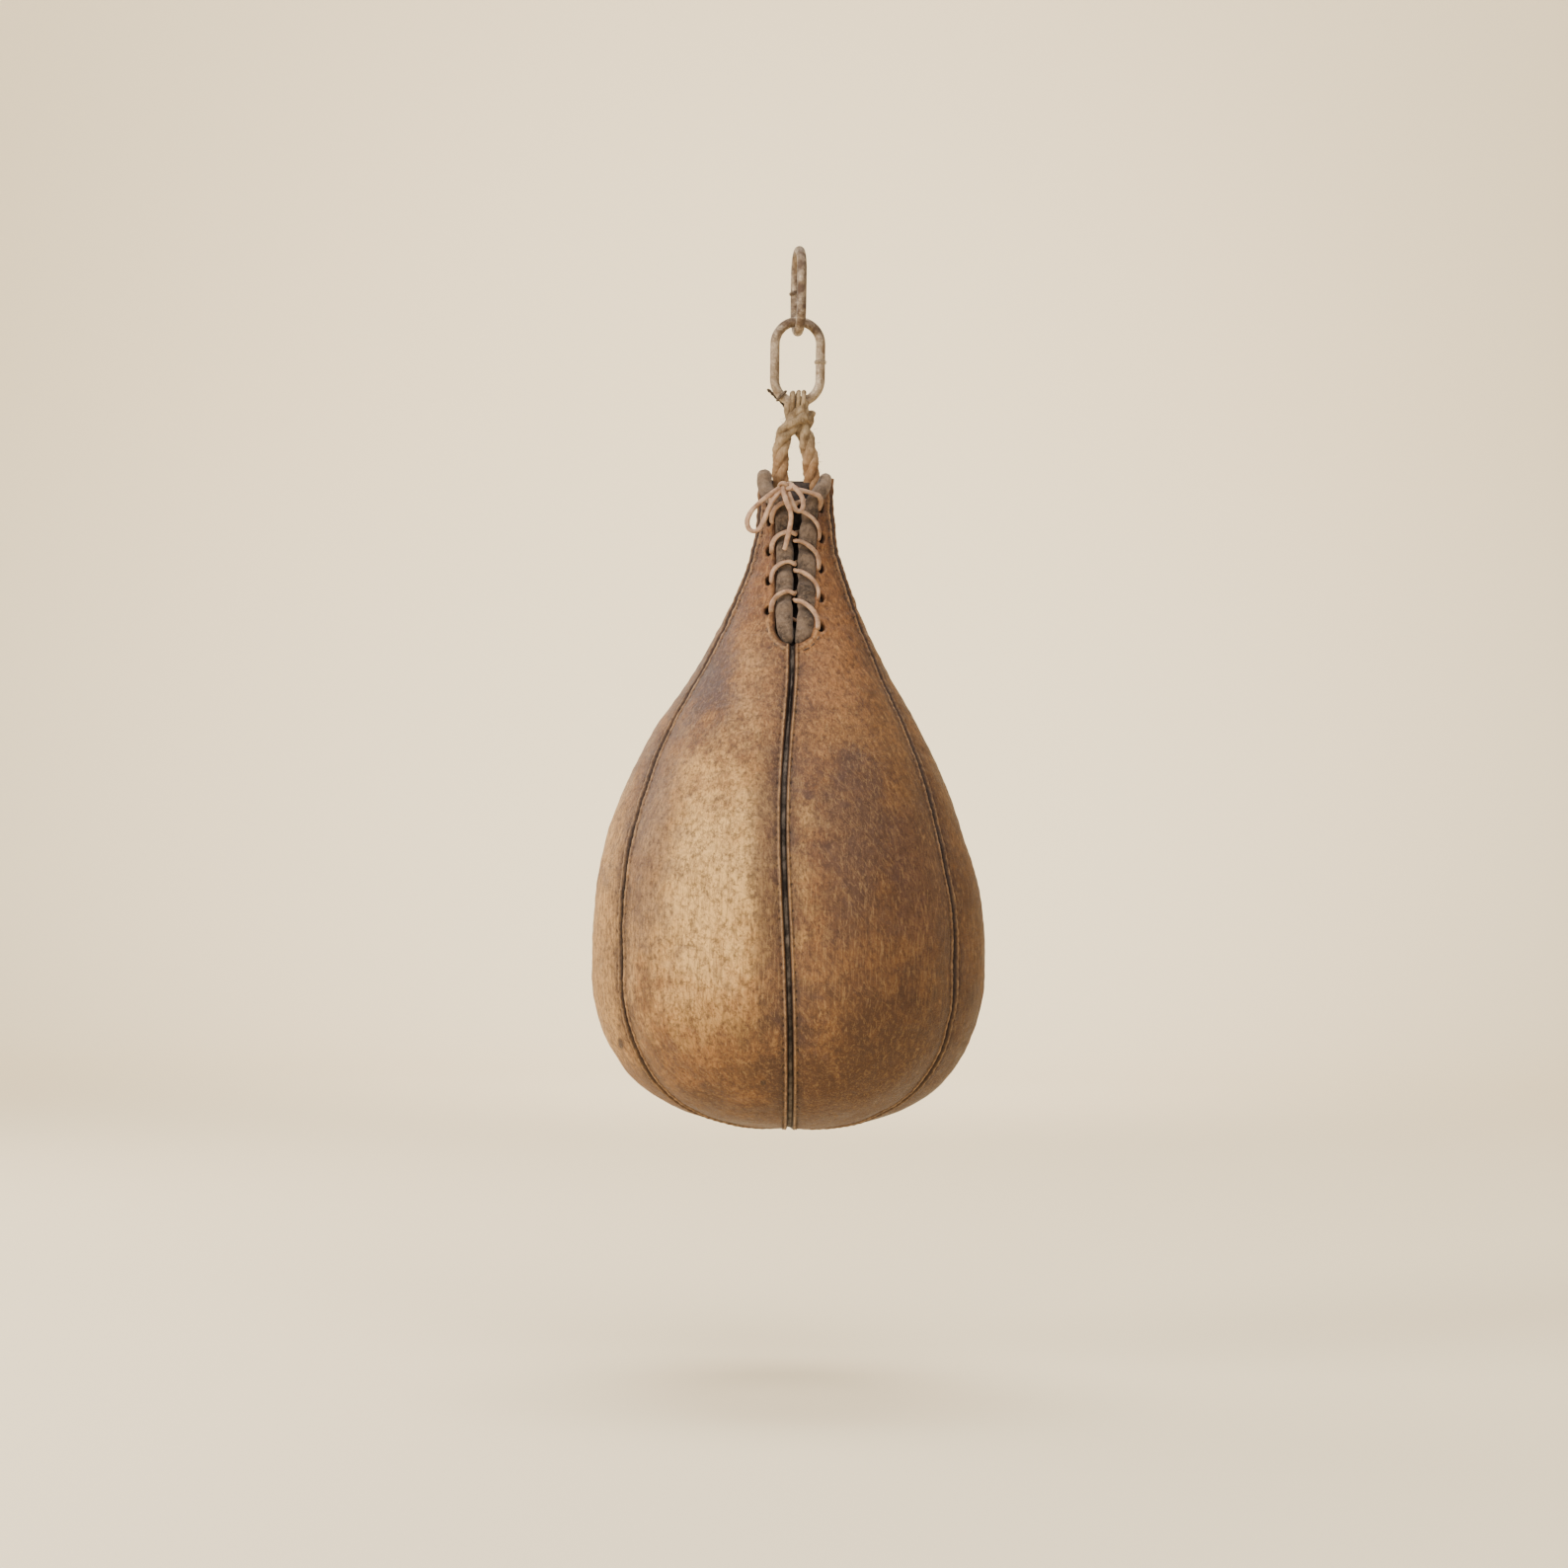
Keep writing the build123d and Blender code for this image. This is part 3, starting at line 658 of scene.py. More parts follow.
def eyelet_marks(points, eyelets):
    """Sink and hole marks of the punched eyelets, with the leather drawn in round them. The hole marks are
    painted dark as the shade inside each hole.
    """
    sink, hole = np.zeros(len(points)), np.zeros(len(points))
    for x, drop in eyelets:
        centre = np.array(on_front(x * 1.035, drop - 0.2, 0))
        # The lace has pulled each hole a little taller than it is wide
        reach = np.linalg.norm((points - centre) * (1, 1, 0.75), axis=1)
        sink += 3.8 * (1 - smooth(reach, 1.6, 2.5)) - 0.45 * bell(reach, 3.8, 0.9)
        hole = np.maximum(hole, 1 - smooth(reach, 1.9, 2.8))
    return sink, hole


def lumps(points):
    """Slow unevenness of old leather over its padding, in millimetres of sink."""
    values = np.empty(len(points))
    for i, point in enumerate(points):
        p = Vector(point)
        throat = max(0.0, min(1.0, (point[2] - RIM + 130) / 60))
        broad = noise.noise(p * 0.016 + Vector((3.1, 0.4, 7.7))) * 1.7
        dents = noise.noise(p * 0.052 + Vector((9.0, 2.0, 1.0))) * 0.55
        fold = noise.noise(Vector((p.x * 0.06, p.y * 0.06, p.z * 0.21))) * (0.25 + 0.5 * throat)
        values[i] = broad * (1 - 0.65 * throat) + dents + fold + noise.noise(p * 0.33) * 0.1
    return values


def gore(index, name):
    """One leather panel between two seams."""
    arcs = gore_arcs()
    drops, radius = drop_at(arcs), radius_at(arcs)
    laced, right = name.startswith("front"), name == "front_right"
    columns = LACED_COLUMNS if laced else PLAIN_COLUMNS
    k = np.linspace(0, 1, columns)
    u = k - SQUEEZE * np.sin(TURN * k)
    seam_low, seam_high = seam_angle(index, drops), seam_angle((index + 1) % 6, drops)
    seam_high = np.where(seam_high < seam_low, seam_high + TURN, seam_high)
    low, high = seam_low, seam_high
    if laced:
        half = slit_half(drops) * smooth(SLIT_BOTTOM - drops, -0.01, 0.01)
        opening = np.arcsin(np.clip(half / np.maximum(radius, 21), 0, 1))
        if right:
            low = np.maximum(low, opening)
        else:
            high = np.minimum(high, TURN - opening)
    azimuth = low[:, None] + (high - low)[:, None] * u[None, :]
    across = 2 * (azimuth - seam_low[:, None]) / (seam_high - seam_low)[:, None] - 1
    arc = np.repeat(arcs[:, None], columns, axis=1)
    drop = np.repeat(drops[:, None], columns, axis=1)
    local = np.maximum(radius, 2)[:, None]
    to_low, to_high = (azimuth - seam_low[:, None]) * local, (seam_high[:, None] - azimuth) * local
    near = np.minimum(to_low, to_high) * SIDE_SEAM + SEAM_GAP
    edge = np.full_like(near, NO_EDGE)
    if laced:
        front, other = (to_low, to_high) if right else (to_high, to_low)
        width = (azimuth - low[:, None] if right else high[:, None] - azimuth) * local
        below = np.hypot(front, np.maximum(drop - ROUND_TOP, 0)) - SLIT_HALF
        edge = np.where(drop > ROUND_TOP, np.maximum(below, 0), width)
        other = other * SIDE_SEAM
        near = np.where(drop < SLIT_BOTTOM, other, np.minimum(front, other)) + SEAM_GAP
    points = skin_points(azimuth, arc, 0, across).reshape(-1, 3)
    sink, seam, ridge, hole = gore_sink(*(v.reshape(-1) for v in (arc, drop, near, edge)))
    if laced:
        more, holes = eyelet_marks(points, RIGHT_EYELETS if right else LEFT_EYELETS)
        sink, hole = sink + more, np.maximum(hole, holes)
    # Shallower round the lowest point, where all the seams meet
    pole = smooth(radius, 4, 22)
    sink = sink * np.repeat(0.25 + 0.75 * pole, columns) + lumps(points) * np.repeat(pole, columns)
    sunk = skin_points(azimuth, arc, sink.reshape(azimuth.shape), across).reshape(-1, 3)
    outward = [face[::-1] for face in grid_faces(len(arcs), columns)]
    # Darker within about 11 mm of a seam
    darkening = bell(near.reshape(-1), 0, 11.0, 1.5)
    piece = mesh(f"leather_{name}", [(sunk, outward)], LEATHER_LOOK, "bag", closed=False,
                 attributes={"seam": seam, "ridge": ridge, "hole": hole, "darkening": darkening})
    thick = piece.modifiers.new("thickness", "SOLIDIFY")
    thick.thickness = LEATHER * MM * LEATHER_SHOWN
    thick.offset = -1.0  # inwards
    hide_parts(f"gore_{name}")


for index, name in enumerate(GORES):
    gore(index, name)


# ---- what follows the gores

def inner_shell(name, depth, thick, top, material, node):
    """A closed shell inside the leather, from a drop below the rim down to the lowest point."""
    arcs = np.linspace(arc_at(top), ARC_LENGTH - 0.8, 110)
    azimuths = np.linspace(0, TURN, 144, endpoint=False)
    azimuth, arc = np.meshgrid(azimuths, arcs)
    across = 2 * ((azimuth / SEAM_STEP) % 1) - 1
    outside = skin_points(azimuth, arc, depth, across).reshape(-1, 3)
    inside = skin_points(azimuth, arc, depth + thick, across).reshape(-1, 3)
    rows, columns = azimuth.shape
    faces = grid_faces(rows, columns, closed=True)
    count = len(outside)
    faces += [tuple(count + i for i in reversed(face)) for face in faces]
    faces += [(j, count + j, count + (j + 1) % columns, (j + 1) % columns) for j in range(columns)]
    last = (rows - 1) * columns
    faces.append(tuple(last + j for j in range(columns)))
    faces.append(tuple(count + last + j for j in reversed(range(columns))))
    piece = mesh(name, [(np.concatenate([outside, inside]), faces)], material, "bag")
    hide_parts(node)


inner_shell("canvas_lining", 4.6, 0.8, 112.0, CANVAS_LOOK, "lining")
inner_shell("rubber_bladder", 6.4, 1.2, 132.0, RUBBER_LOOK, "bladder")


def seam_line(k, top, depth, step, offset=0.0):
    """Points down seam k from a drop to near the lowest point, at a depth, offset sideways.

    They start at a whole step, so that stitches meet the holes in the gores.
    """
    arcs = np.arange(math.ceil(arc_at(top) / step) * step, ARC_LENGTH - 7, step)
    angle = seam_angle(k, drop_at(arcs)) + offset / np.maximum(radius_at(arcs), 3)
    return skin_points(angle, arcs, depth, 1)


SEAM_NAMES = ["front", "front_right", "back_right", "back", "back_left", "front_left"]
WELT_CREST, WELT_FOOT, WELT_HALF = 1.5, 5.2, 1.3


def welt(k, name):
    """The strip of leather sewn into a seam, just proud of the groove's floor, with a worn edge."""
    top = SLIT_BOTTOM + 0.6 if k == 0 else 3.0
    crest, floor = (seam_line(k, top, depth, 1.2) for depth in (WELT_CREST, WELT_FOOT))
    away = crest - floor
    away /= np.linalg.norm(away, axis=1)[:, None]
    along = np.gradient(crest, axis=0)
    along /= np.linalg.norm(along, axis=1)[:, None]
    side = np.cross(away, along)
    wear = np.array([noise.noise(Vector(p) * 0.24) for p in crest])[:, None]
    side *= WELT_HALF
    crest = crest + away * wear * 0.45
    edge = crest - away * 0.45
    rings = [floor - side, edge - side, crest - side * 0.45, crest + side * 0.45, edge + side, floor + side]
    verts = np.stack(rings, axis=1).reshape(-1, 3)
    last = len(verts) - len(rings)
    faces = grid_faces(len(crest), len(rings), closed=True)
    faces += [tuple(range(len(rings))), tuple(reversed(range(last, len(verts))))]
    piece = mesh(f"worn_welt_{name}", [(verts, faces)], WELT_LOOK, "bag")
    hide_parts(f"welt_{name}")


def stitch(start, end, out):
    """One stitch of thread: a short bowed capsule from hole to hole."""
    dip, rise, middle = out * 0.5, out * THREAD * 0.5, (start + end) / 2 + out * THREAD * 0.9
    line = np.array([start - dip, start * 0.72 + end * 0.28 + rise, middle,
                     start * 0.28 + end * 0.72 + rise, end - dip])
    return swept(line, THREAD, THREAD, around=6, up=out)


def stitch_rows(k, name):
    """Both rows of stitches of a seam, sunk in the leather."""
    top = SLIT_BOTTOM + 4 if k == 0 else 16.0
    away = (STITCH_OUT - SEAM_GAP) / (1 if k == 0 else SIDE_SEAM)
    parts = []
    for side in (-1, 1):
        line, deep = (seam_line(k, top, depth, STITCH_PITCH, side * away) for depth in (0.55, 3.0))
        for a, b, inner in zip(line, line[1:], deep):
            out = a - inner
            out /= np.linalg.norm(out)
            parts.append(stitch(a * 0.84 + b * 0.16, a * 0.16 + b * 0.84, out))
    piece = mesh(f"stitches_{name}", parts, THREAD_LOOK, "bag")
    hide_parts(f"seam_thread_{name}")


for k, name in enumerate(SEAM_NAMES):
    welt(k, name)
    stitch_rows(k, name)


def foot_stitches():
    """The row of stitches round the foot of the laced opening."""
    reach = SLIT_HALF + 5.2
    angles = [angle for angle in np.radians(np.arange(-84, 85, 17)) if abs(angle) > 0.1]
    spots = [(reach * math.sin(angle), ROUND_TOP + reach * math.cos(angle)) for angle in angles]
    parts = []
    for (x0, d0), (x1, d1) in zip(spots, spots[1:]):
        if x0 * x1 > 0:
            a, b = (np.array(on_front(x, d, 0.1)) for x, d in ((x0, d0), (x1, d1)))
            parts.append(stitch(a * 0.85 + b * 0.15, a * 0.15 + b * 0.85, np.array((0.0, -1.0, 0.0))))
    piece = mesh("foot_stitches", parts, THREAD_LOOK, "bag")
    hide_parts("facing_thread")


foot_stitches()


# ---- facings

FACING_SUNK = 1.2  # how far the facings' middles lie below their routes
CENTRE_RISE = (9.8, 15.5)  # from an eyelet up to where the lace crosses the middle, left and right
# How the lace arches over a left and over a right facing: distance from the middle, climb, depth
ARCHES = (
    ((12.9, 1.0, -1.6), (12.2, 4.0, -2.6), (10.4, 7.6, -3.2), (7.0, 10.4, -3.4), (3.0, 11.6, -2.8)),
    ((13.2, 2.2, -1.6), (12.4, 5.6, -2.6), (10.4, 9.4, -3.2), (7.2, 12.6, -3.4), (3.4, 15.2, -2.8)),
)


def lace_crossings(side):
    """Drops at which the lace crosses the facing of a side."""
    eyelets = (LEFT_EYELETS, RIGHT_EYELETS)[side > 0]
    return [drop - 0.6 * CENTRE_RISE[side > 0] for _, drop in eyelets[:4]]


def facing(side, name, line, wide, ear):
    """A padded suede roll, pinched where the lace crosses it, that swells into an ear at its top."""
    around = 36
    points = [on_front(side * x, drop, depth + FACING_SUNK) for x, drop, depth in line]
    path = route(points, 0.7)
    drops = RIM - path[:, 2]
    half_wide = np.interp(drops, [-6, 0, 6, 16, 40, 80, 92, 99],
                          [ear, ear, 4.4, 4.5, wide, wide, wide * 0.9, 2.4])
    half_thick = np.interp(drops, [-6, 0, 6, 16, 80, 94, 99], [ear, ear, 4.0, 3.6, 3.5, 3.0, 2.0])
    # The narrower bells are painted shade under the lace where it crosses
    pinch, painted_shade = (sum(bell(drops, drop, width) for drop in lace_crossings(side)) for width in (2.6, 1.6))
    half_wide = half_wide * (1 - 0.14 * pinch)
    half_thick = half_thick * (1.06 - 0.46 * pinch)
    top = np.clip((drops - drops.min()) / ear, 0, 1)
    bottom = np.clip((drops.max() - drops) / 4.0, 0, 1)
    cap = np.sqrt(np.clip(1 - (1 - top) ** 2, 0.02, 1) * np.clip(1 - (1 - bottom) ** 2, 0.05, 1))
    verts, faces = swept(path, half_wide * cap, half_thick * cap, around, square=2.3)
    creased = []
    for v in verts:
        p = Vector(v)
        lift = noise.noise(p * 0.2 + Vector((side, 5, 2))) * 0.55 + noise.noise(p * 0.55) * 0.22
        fold = noise.noise(Vector((p.x * 0.1, p.y * 0.1, p.z * 0.62))) * 0.35
        creased.append(p + noise.noise_vector(p * 0.3) * 0.25 - Vector((0, lift + fold, 0)))
    # Painted shade under the lace where it crosses, and on the side that faces inwards
    low = np.clip(-np.sin(np.linspace(0, TURN, around, endpoint=False)), 0, 1) ** 0.5 * 0.55
    marks = np.clip(painted_shade[:, None] * 0.75 + low[None, :], 0, 1).reshape(-1)
    marks = np.concatenate([marks, marks[[0, -1]]])
    piece = mesh(name, [(creased, faces)], SUEDE_LOOK, "bag", attributes={"painted_shade": marks})
    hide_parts("facing_left" if side < 0 else "facing_right")


# Routes from the foot to the ear: distance from the middle, drop below the rim, depth
LEFT_FACING = [
    (1.8, 98.0, 0.9), (4.4, 94.6, 0.9), (6.0, 88.0, 1.0), (6.4, 74.0, 1.0), (6.2, 58.0, 1.0),
    (6.6, 42.0, 1.0), (7.6, 28.0, 1.0), (8.6, 20.0, 1.0), (12.4, 14.6, 0.4), (17.0, 10.4, 0.0),
    (19.6, 4.8, 0.0), (20.0, -0.6, 0.4), (20.0, -4.6, 0.8),
]
RIGHT_FACING = [
    (1.4, 98.4, 0.9), (4.4, 95.2, 0.9), (6.8, 89.0, 1.0), (7.4, 74.0, 1.0), (7.1, 58.0, 1.0),
    (7.3, 42.0, 1.0), (8.2, 28.0, 1.0), (9.4, 18.0, 1.0), (13.0, 11.6, 0.6), (16.8, 6.6, 0.4),
    (18.8, 1.4, 0.6), (19.0, -2.8, 1.0),
]
facing(-1, "suede_left", LEFT_FACING, 5.0, 4.2)
facing(1, "suede_right", RIGHT_FACING, 5.4, 3.4)


# ---- lace and bow

THONG_WIDE, THONG_THICK = 1.35, 1.0
LACE_STEP = 0.6
KNOT = (-6.0, -29.0, 7.2)  # x and y, and the distance below the rim


def lace_half(side):
    """The route of one half of the lace, from under the lowest eyelet of a side up to the knot."""
    points = []
    for i in range(5):
        x, drop = (LEFT_EYELETS, RIGHT_EYELETS)[side > 0][i]
        points += [(x, drop + 0.6, 6.4), (x * 0.97, drop + 0.8, 3.0), (x * 0.91, drop + 0.8, -0.6)]
        if i < 4:
            points += [(side * x1, drop - lift, depth) for x1, lift, depth in ARCHES[side > 0]]
            drop -= CENTRE_RISE[side > 0]
            points += [(0.0, drop, -1.2), (0.1, drop - 0.4, 1.8), (0.0, drop - 1.0, 5.8),
                       (-side * 3.4, drop - 2.0, 7.2), (-side * 9.5, drop - 3.0, 7.2)]
            side = -side
    points += [(side * 12.4, (x > 0) * 2.0 + 12.0, -4.6), (side * 9.8, 10.0, -5.6)]
    line = [tuple(on_front(x, drop, depth)) for x, drop, depth in points]
    return line + [(KNOT[0] + side * 1.4, KNOT[1] + 2.6, RIM - KNOT[2])]


def whole_lace():
    """The lace through all its eyelets, as two halves that meet under the foot of the opening."""
    left, right = lace_half(-1), lace_half(1)
    under = tuple(on_front(0, 84, 7.2))
    path = route([*reversed(left), under, *right], LACE_STEP)
    arc = np.arange(len(path)) * LACE_STEP
    turn = 0.5 * np.sin(arc / 31.0) + 0.35 * np.sin(arc / 13.0 + 1)
    wide = THONG_WIDE * (1 + 0.08 * np.sin(arc / 4.1) + 0.05 * np.sin(arc / 1.7))
    thong = swept(path, wide, THONG_THICK, turn=turn, square=2.8, rough=0.1)
    piece = mesh("rawhide_lace", [thong], LACE_LOOK, "bag")
    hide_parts("lace")


whole_lace()


def bow_strand(name, node, points):
    """A free stretch of the bow, as a thong along its route."""
    places = [(x, y, RIM - drop) for x, y, drop in points]
    path = route(places, LACE_STEP)
    arc = np.arange(len(path)) * LACE_STEP
    turn = 0.35 * np.sin(arc / 9.0 + len(points))
    wide = 1.42 * (1 + 0.07 * np.sin(arc / 3.3))
    thong = swept(path, wide, 1.08, turn=turn, square=2.8, rough=0.1, seed=3.0)
    piece = mesh(name, [thong], LACE_LOOK, "bag")
    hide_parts(node)


# Each a route from the knot, as x, y and the distance below the rim
LOOP_LEFT = [
    (-9.3, -29.4, 7.6), (-13.6, -30.6, 10.6), (-20.0, -30.4, 15.4), (-25.6, -29.2, 20.6),
    (-28.6, -28.6, 27.0), (-27.0, -28.8, 32.6), (-22.0, -29.8, 33.4), (-18.2, -31.0, 27.0),
    (-15.0, -31.8, 18.0), (-11.6, -31.4, 12.0), (-8.6, -30.2, 9.8),
]
LOOP_RIGHT = [
    (-3.4, -30.0, 5.6), (0.4, -31.2, 8.2), (3.6, -32.0, 12.6), (4.6, -32.6, 17.8), (2.8, -33.2, 21.8),
    (-0.4, -33.4, 20.4), (-2.6, -32.6, 15.4), (-4.4, -31.2, 10.4),
]
LACE_END = [
    (-7.4, -32.2, 9.4), (-6.0, -36.0, 15.4), (-2.2, -36.6, 23.0), (-3.4, -36.0, 33.0), (-6.2, -34.6, 43.6),
]
bow_strand("bow_left", "bow_loop_left", LOOP_LEFT)
bow_strand("bow_right", "bow_loop_right", LOOP_RIGHT)
bow_strand("lace_tail", "lace_end", LACE_END)


def knot_piece():
    """The knot of the bow: a trefoil of thong, pulled tight."""
    angles = np.linspace(0, TURN, 140)
    x = (np.sin(angles) + 2 * np.sin(2 * angles)) * 1.25
    z = (np.cos(angles) - 2 * np.cos(2 * angles)) * 1.05
    y = -np.sin(3 * angles) * 1.3
    line = np.stack([x + KNOT[0], y + KNOT[1] - 0.4, z + RIM - KNOT[2]], axis=-1)
    thong = swept(line, 1.45, 1.15, square=2.6, rough=0.12, seed=8.0)
    piece = mesh("bow_tied", [thong], LACE_LOOK, "bag")
    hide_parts("bow_knot")


knot_piece()


# ---- rope and links

PLUG_FOOT = RIM - 70  # the rope passes under the plug here
TURN_MIDDLE = 5.6  # from the middle of the link's wire to the middle of the rope's turn


def rope_pieces():
    """The rope: two strands out of the throat that cross under the link, its turn and its short end."""
    loop = [
        (2.4, 2.4, FOOT + 2.0), (3.2, -1.4, FOOT - 4.4), (0.6, -4.2, FOOT - 9.0),
        (-4.0, -3.4, FOOT - 14.0), (-8.2, -1.2, FOOT - 20.5), (-9.4, 0.0, FOOT - 30.0),
        (-9.2, 0.2, FOOT - 50.0), (-9.2, 0.0, FOOT - 90.0), (-9.2, 0.0, PLUG_FOOT - 2.0),
        (-8.0, 0.0, PLUG_FOOT - 10.0), (0.0, 0.0, PLUG_FOOT - 14.5), (8.0, 0.0, PLUG_FOOT - 10.0),
        (9.2, 0.0, PLUG_FOOT - 2.0), (9.2, 0.0, FOOT - 90.0), (9.4, -0.2, FOOT - 48.0),
        (8.4, 0.2, FOOT - 34.0), (5.8, 0.6, FOOT - 22.0), (3.2, 0.0, FOOT - 14.6),
        (-1.6, -0.2, FOOT - 9.0), (-3.4, 0.6, FOOT - 4.0), (-2.0, 3.6, FOOT + 0.6),
    ]
    parts = [twisted(route(loop), 5.0, 34.0)]
    # The turn over the wire lies flat, its strands side by side
    for i, x in enumerate((-3.2, 0.0, 3.2)):
        angles = np.linspace(math.radians(-62), math.radians(242), 60)
        reach = TURN_MIDDLE + 0.25 * np.sin(3 * angles + i)
        lean = 1.3 * np.sin(angles * 0.5 + i * 0.4) - 0.5
        line = np.stack([x + lean, np.cos(angles) * reach, FOOT + np.sin(angles) * reach], axis=-1)
        parts.append(swept(line, 1.75, 1.35, up=(1, 0, 0), rough=0.3, seed=20.0 + i))
    # A half hitch round both strands just under the link
    angles = np.linspace(0, TURN, 70)
    hitch = np.stack([np.cos(angles) * 6.0 + 0.4, np.sin(angles) * 5.6,
                      FOOT - 12.4 + 2.2 * np.cos(angles + 0.6)], axis=-1)
    parts.append(twisted(hitch, 2.7, 17.0, seed=5.0))
    short = [(0.6, 5.0, FOOT - 15.6), (4.6, 6.6, FOOT - 14.6),
             (7.0, 6.8, FOOT - 10.0), (7.6, 6.6, FOOT - 5.0)]
    parts.append(twisted(route(short), 3.6, 18.0, seed=9.0))
    piece = mesh("laid_rope", parts, ROPE_LOOK, "bag")
    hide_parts("hanging_rope")


rope_pieces()


def rope_fuzz():
    """Loose fibres that stand off the rope."""
    parts = []
    for _ in range(150):
        side = RNG.choice((-1, 1))
        below = RNG.uniform(8, 46)
        angle = RNG.uniform(0, TURN)
        spread = np.interp(below, [8, 20, 30], [2.5, 7.5, 9.3])
        out = np.array((math.cos(angle), math.sin(angle), 0))
        start = np.array((side * spread, 0, FOOT - below)) + out * 4.2
        bend = np.array((RNG.uniform(-1, 1), RNG.uniform(-1, 1), RNG.uniform(-1.6, 1.2)))
        length = RNG.uniform(0.8, 2.4)
        middle, tip = start + out * length * 0.5 + bend * 0.4, start + out * length + bend * 1.3
        taper = (0.1, 0.07, 0.03)
        parts.append(swept(np.array([start, middle, tip]), taper, taper, around=4, up=(0, 0.3, 1)))
    mesh("rope_fibres", parts, ROPE_LOOK, "bag")


rope_fuzz()


def twine_piece():
    """A stray end of dark twine round the lower link."""
    points = [(-6.0, 4.4, FOOT - 3.8), (-9.6, 4.4, FOOT + 1.2),
              (-13.4, 5.2, FOOT + 4.2), (-17.4, 4.2, FOOT + 7.8)]
    parts = [twisted(route(points, 0.5), 1.05, 5.0, strands=2, around=7)]
    x = -9.2
    turn = math.asin(x / ARC)
    centre = np.array((x, 0, FOOT + ARC - ARC * math.cos(turn)))
    out = np.array((math.sin(turn), 0, -math.cos(turn)))
    angles = np.linspace(0, TURN, 40)
    reach = WIRE / 2 + 0.85
    ring = centre + np.outer(np.cos(angles) * reach, out) + np.outer(np.sin(angles) * reach, (0, 1, 0))
    parts.append(swept(ring, 0.8, 0.75, around=8, up=(1, 0, 0.3), rough=0.1))
    piece = mesh("stray_twine", parts, TWINE_LOOK, "lower_link")
    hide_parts("link_twine")


twine_piece()


def weld(name, body, height, link_turn):
    """The flash of the weld at the middle of a link's leg."""
    centre = np.array(Matrix.Rotation(link_turn, 3, "Z") @ Vector((ARC, 0, height)))
    angles = np.linspace(0, TURN, 40)
    parts = []
    for lift, reach, thick in ((-0.9, 2.95, 0.55), (0.0, 3.2, 0.75), (0.9, 2.95, 0.5)):
        heights = lift + 0.15 * np.sin(3 * angles)
        line = np.stack([np.cos(angles) * reach, np.sin(angles) * reach, heights], axis=-1)
        verts, faces = swept(line, thick, thick * 0.6, 8, up=(0, 0, 1), rough=0.18, seed=lift + 4)
        parts.append((verts + centre, faces))
    mesh(name, parts, LINK_LOOK, body)


weld("weld_lower", "lower_link", (link_low.z + link_high.z) / 2 / MM, 0)
weld("weld_upper", "upper_link", WIRE - LINK_LENGTH / 2, math.radians(90) + UPPER_TURN)

# The CAD's own meshes that are kept
LOOKS = {
    "upper_link": LINK_LOOK, "oval_link": LINK_LOOK, "tongue": INNER_LOOK, "throat_collar": INNER_LOOK,
    "bottom_patch": INNER_LOOK, "neck_plug": WOOD_LOOK, "stem_tie": THREAD_LOOK,
}
for node, look in LOOKS.items():
    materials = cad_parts[node].data.materials
    materials.clear()
    materials.append(look)


# ---- stage, lights and camera

def stage():
    """A pale floor under the hanging bag that curves up into a backdrop."""
    data = bpy.data.meshes.new("backdrop")
    floor_z, back_y, front_y, half, bend = -0.66, 3.3, -3.4, 4.5, 0.9
    profile = [(front_y, floor_z), (back_y - bend, floor_z)]
    for angle in np.radians(np.arange(6, 91, 6)):
        profile.append((back_y - bend + bend * math.sin(angle), floor_z + bend - bend * math.cos(angle)))
    profile.append((back_y, 3.4))
    verts = [(x, y, z) for y, z in profile for x in (-half, half)]
    data.from_pydata(verts, [], [(2 * i, 2 * i + 1, 2 * i + 3, 2 * i + 2) for i in range(len(profile) - 1)])
    data.shade_smooth()
    look = Shader("pale_paper")
    look.colour = (0.9, 0.76, 0.52, 1.0)
    data.materials.append(look.finish(0.9, specular=0.2))
    backdrop = bpy.data.objects.new("backdrop", data)
    bpy.context.scene.collection.objects.link(backdrop)


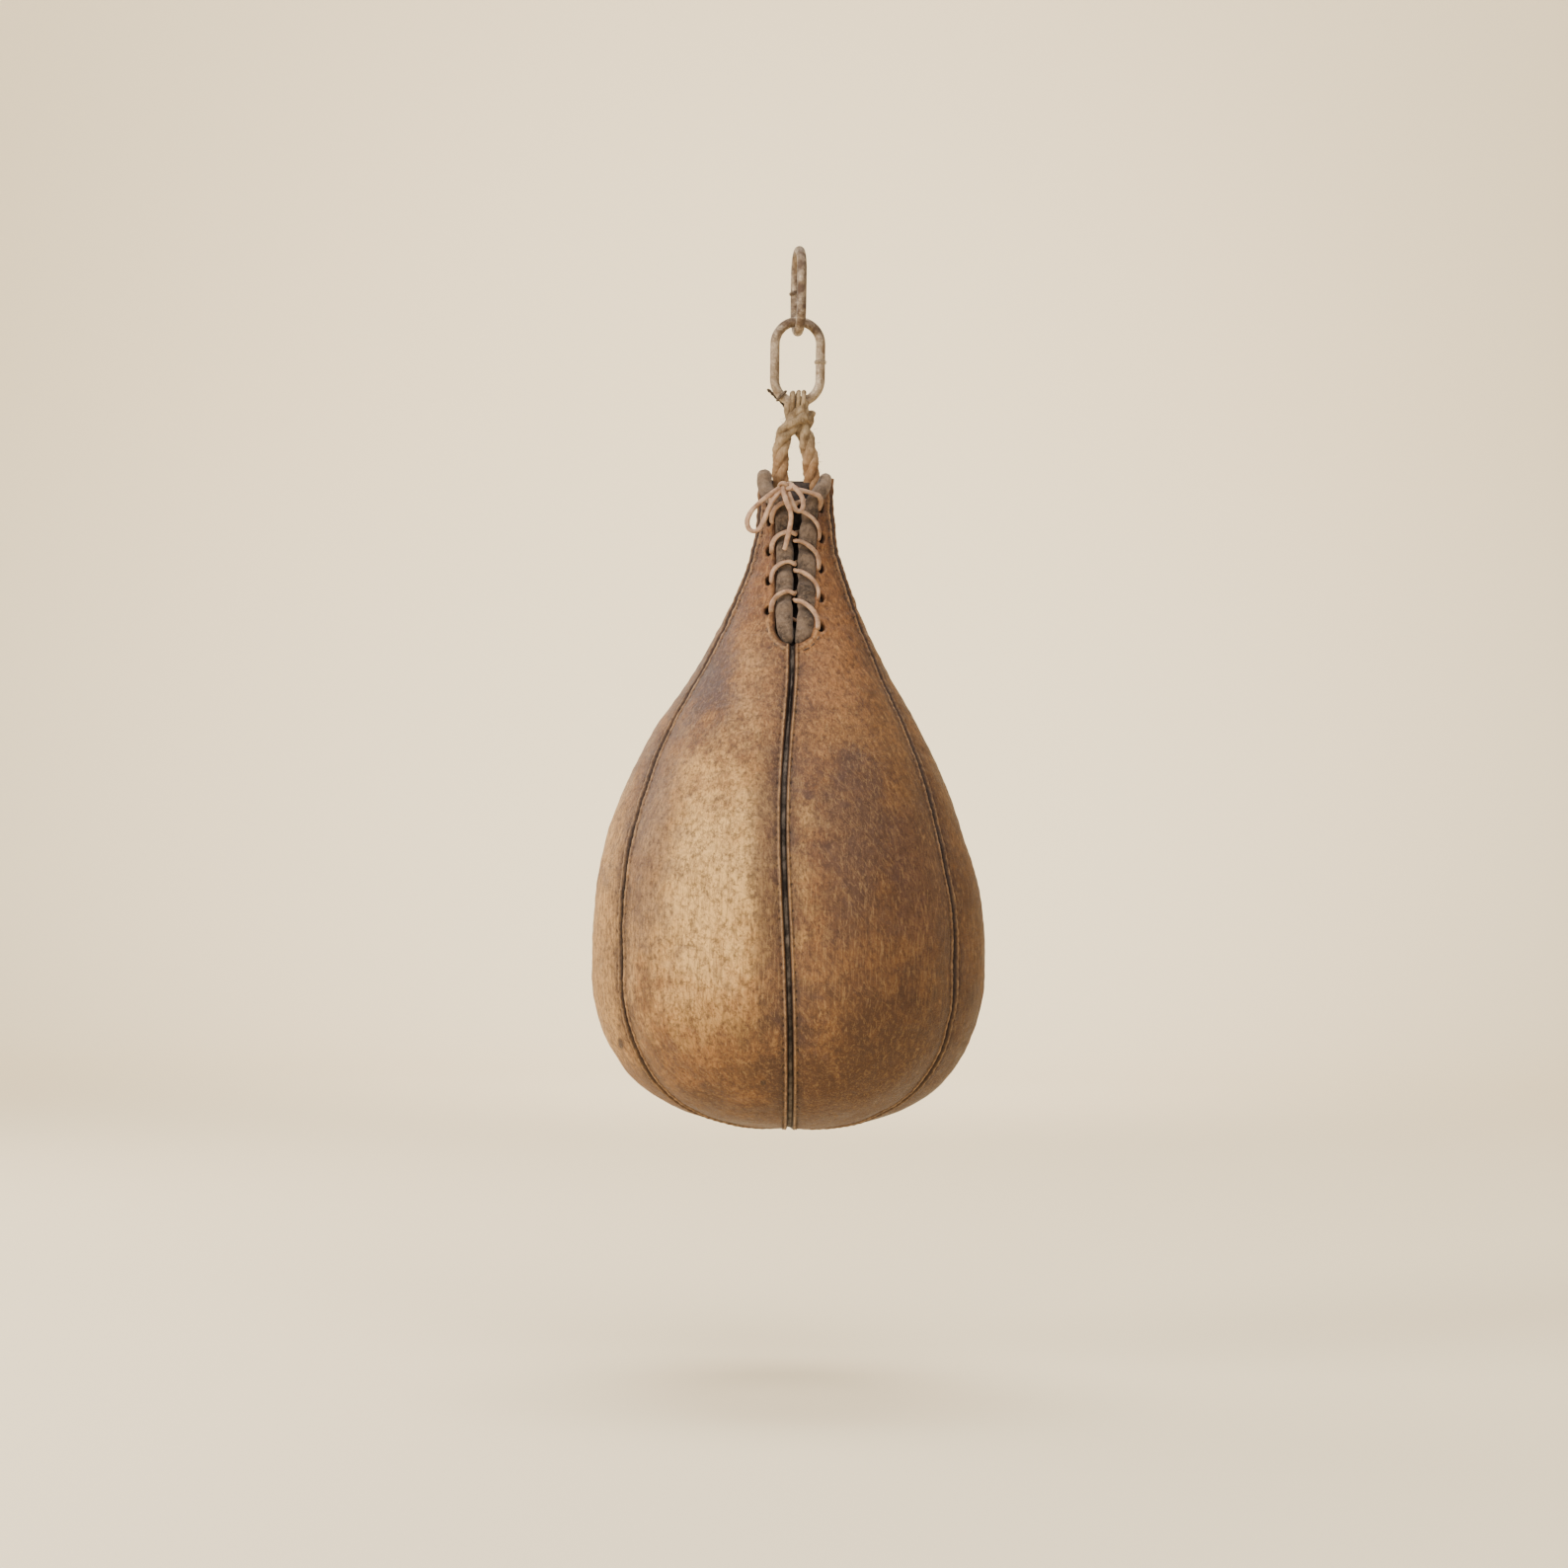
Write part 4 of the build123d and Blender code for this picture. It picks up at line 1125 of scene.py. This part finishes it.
def hang(name, data, place, target, power, colour):
    """Hang a light at a place, facing a target."""
    data.energy = power
    data.color = colour
    lamp = bpy.data.objects.new(name, data)
    lamp.location = place
    lamp.rotation_euler = (Vector(target) - Vector(place)).to_track_quat("-Z", "Y").to_euler()
    bpy.context.scene.collection.objects.link(lamp)


def area_light(name, place, target, size, power, colour):
    """A soft square light."""
    data = bpy.data.lights.new(name, "AREA")
    data.size = size
    hang(name, data, place, target, power, colour)


def spot_light(name, place, target, angle, power, colour):
    """A round light that fades from its middle out to its edge."""
    data = bpy.data.lights.new(name, "SPOT")
    data.spot_size = math.radians(angle)
    data.spot_blend = 1.0
    data.shadow_soft_size = 0.3
    hang(name, data, place, target, power, colour)


def camera():
    """A level camera in front of the bag, turned a little so that the bag leans as it hangs."""
    data = bpy.data.cameras.new("camera")
    data.sensor_width = 36.0
    data.lens = 90.0
    holder = bpy.data.objects.new("camera", data)
    distance = VIEW_WIDTH * data.lens / data.sensor_width
    holder.location = (-0.0047, -distance, -0.3104)
    holder.rotation_euler = (math.radians(90), math.radians(-0.76), 0)
    bpy.context.scene.collection.objects.link(holder)
    bpy.context.scene.camera = holder


VIEW_WIDTH = 0.921  # metres across the picture, at the bag
BAG_MIDDLE = (0.0, 0.0, -0.3)
stage()
area_light("key", (-1.9, -1.3, 0.45), BAG_MIDDLE, 0.9, 71, (1.0, 0.965, 0.91))
area_light("fill", (1.5, -2.0, 0.5), BAG_MIDDLE, 1.6, 18, (1.0, 0.98, 0.95))
area_light("top", (0.1, -1.2, 1.3), BAG_MIDDLE, 1.5, 31, (1.0, 0.975, 0.93))
area_light("back_left", (-1.1, 0.9, 0.4), BAG_MIDDLE, 1.0, 12, (1.0, 0.97, 0.92))
area_light("wall", (0.0, 1.0, 2.7), (0.0, 3.3, -0.2), 2.0, 140, (1.0, 0.965, 0.9))
spot_light("glow", (0.0, 1.0, 0.4), (0.0, 3.3, -0.36), 80.0, 170, (1.0, 0.985, 0.95))
world = bpy.data.worlds.new("soft")
world.use_nodes = True
background = world.node_tree.nodes["Background"]
background.inputs[0].default_value = (1.0, 0.975, 0.93, 1)
background.inputs[1].default_value = 0.28
bpy.context.scene.world = world
camera()
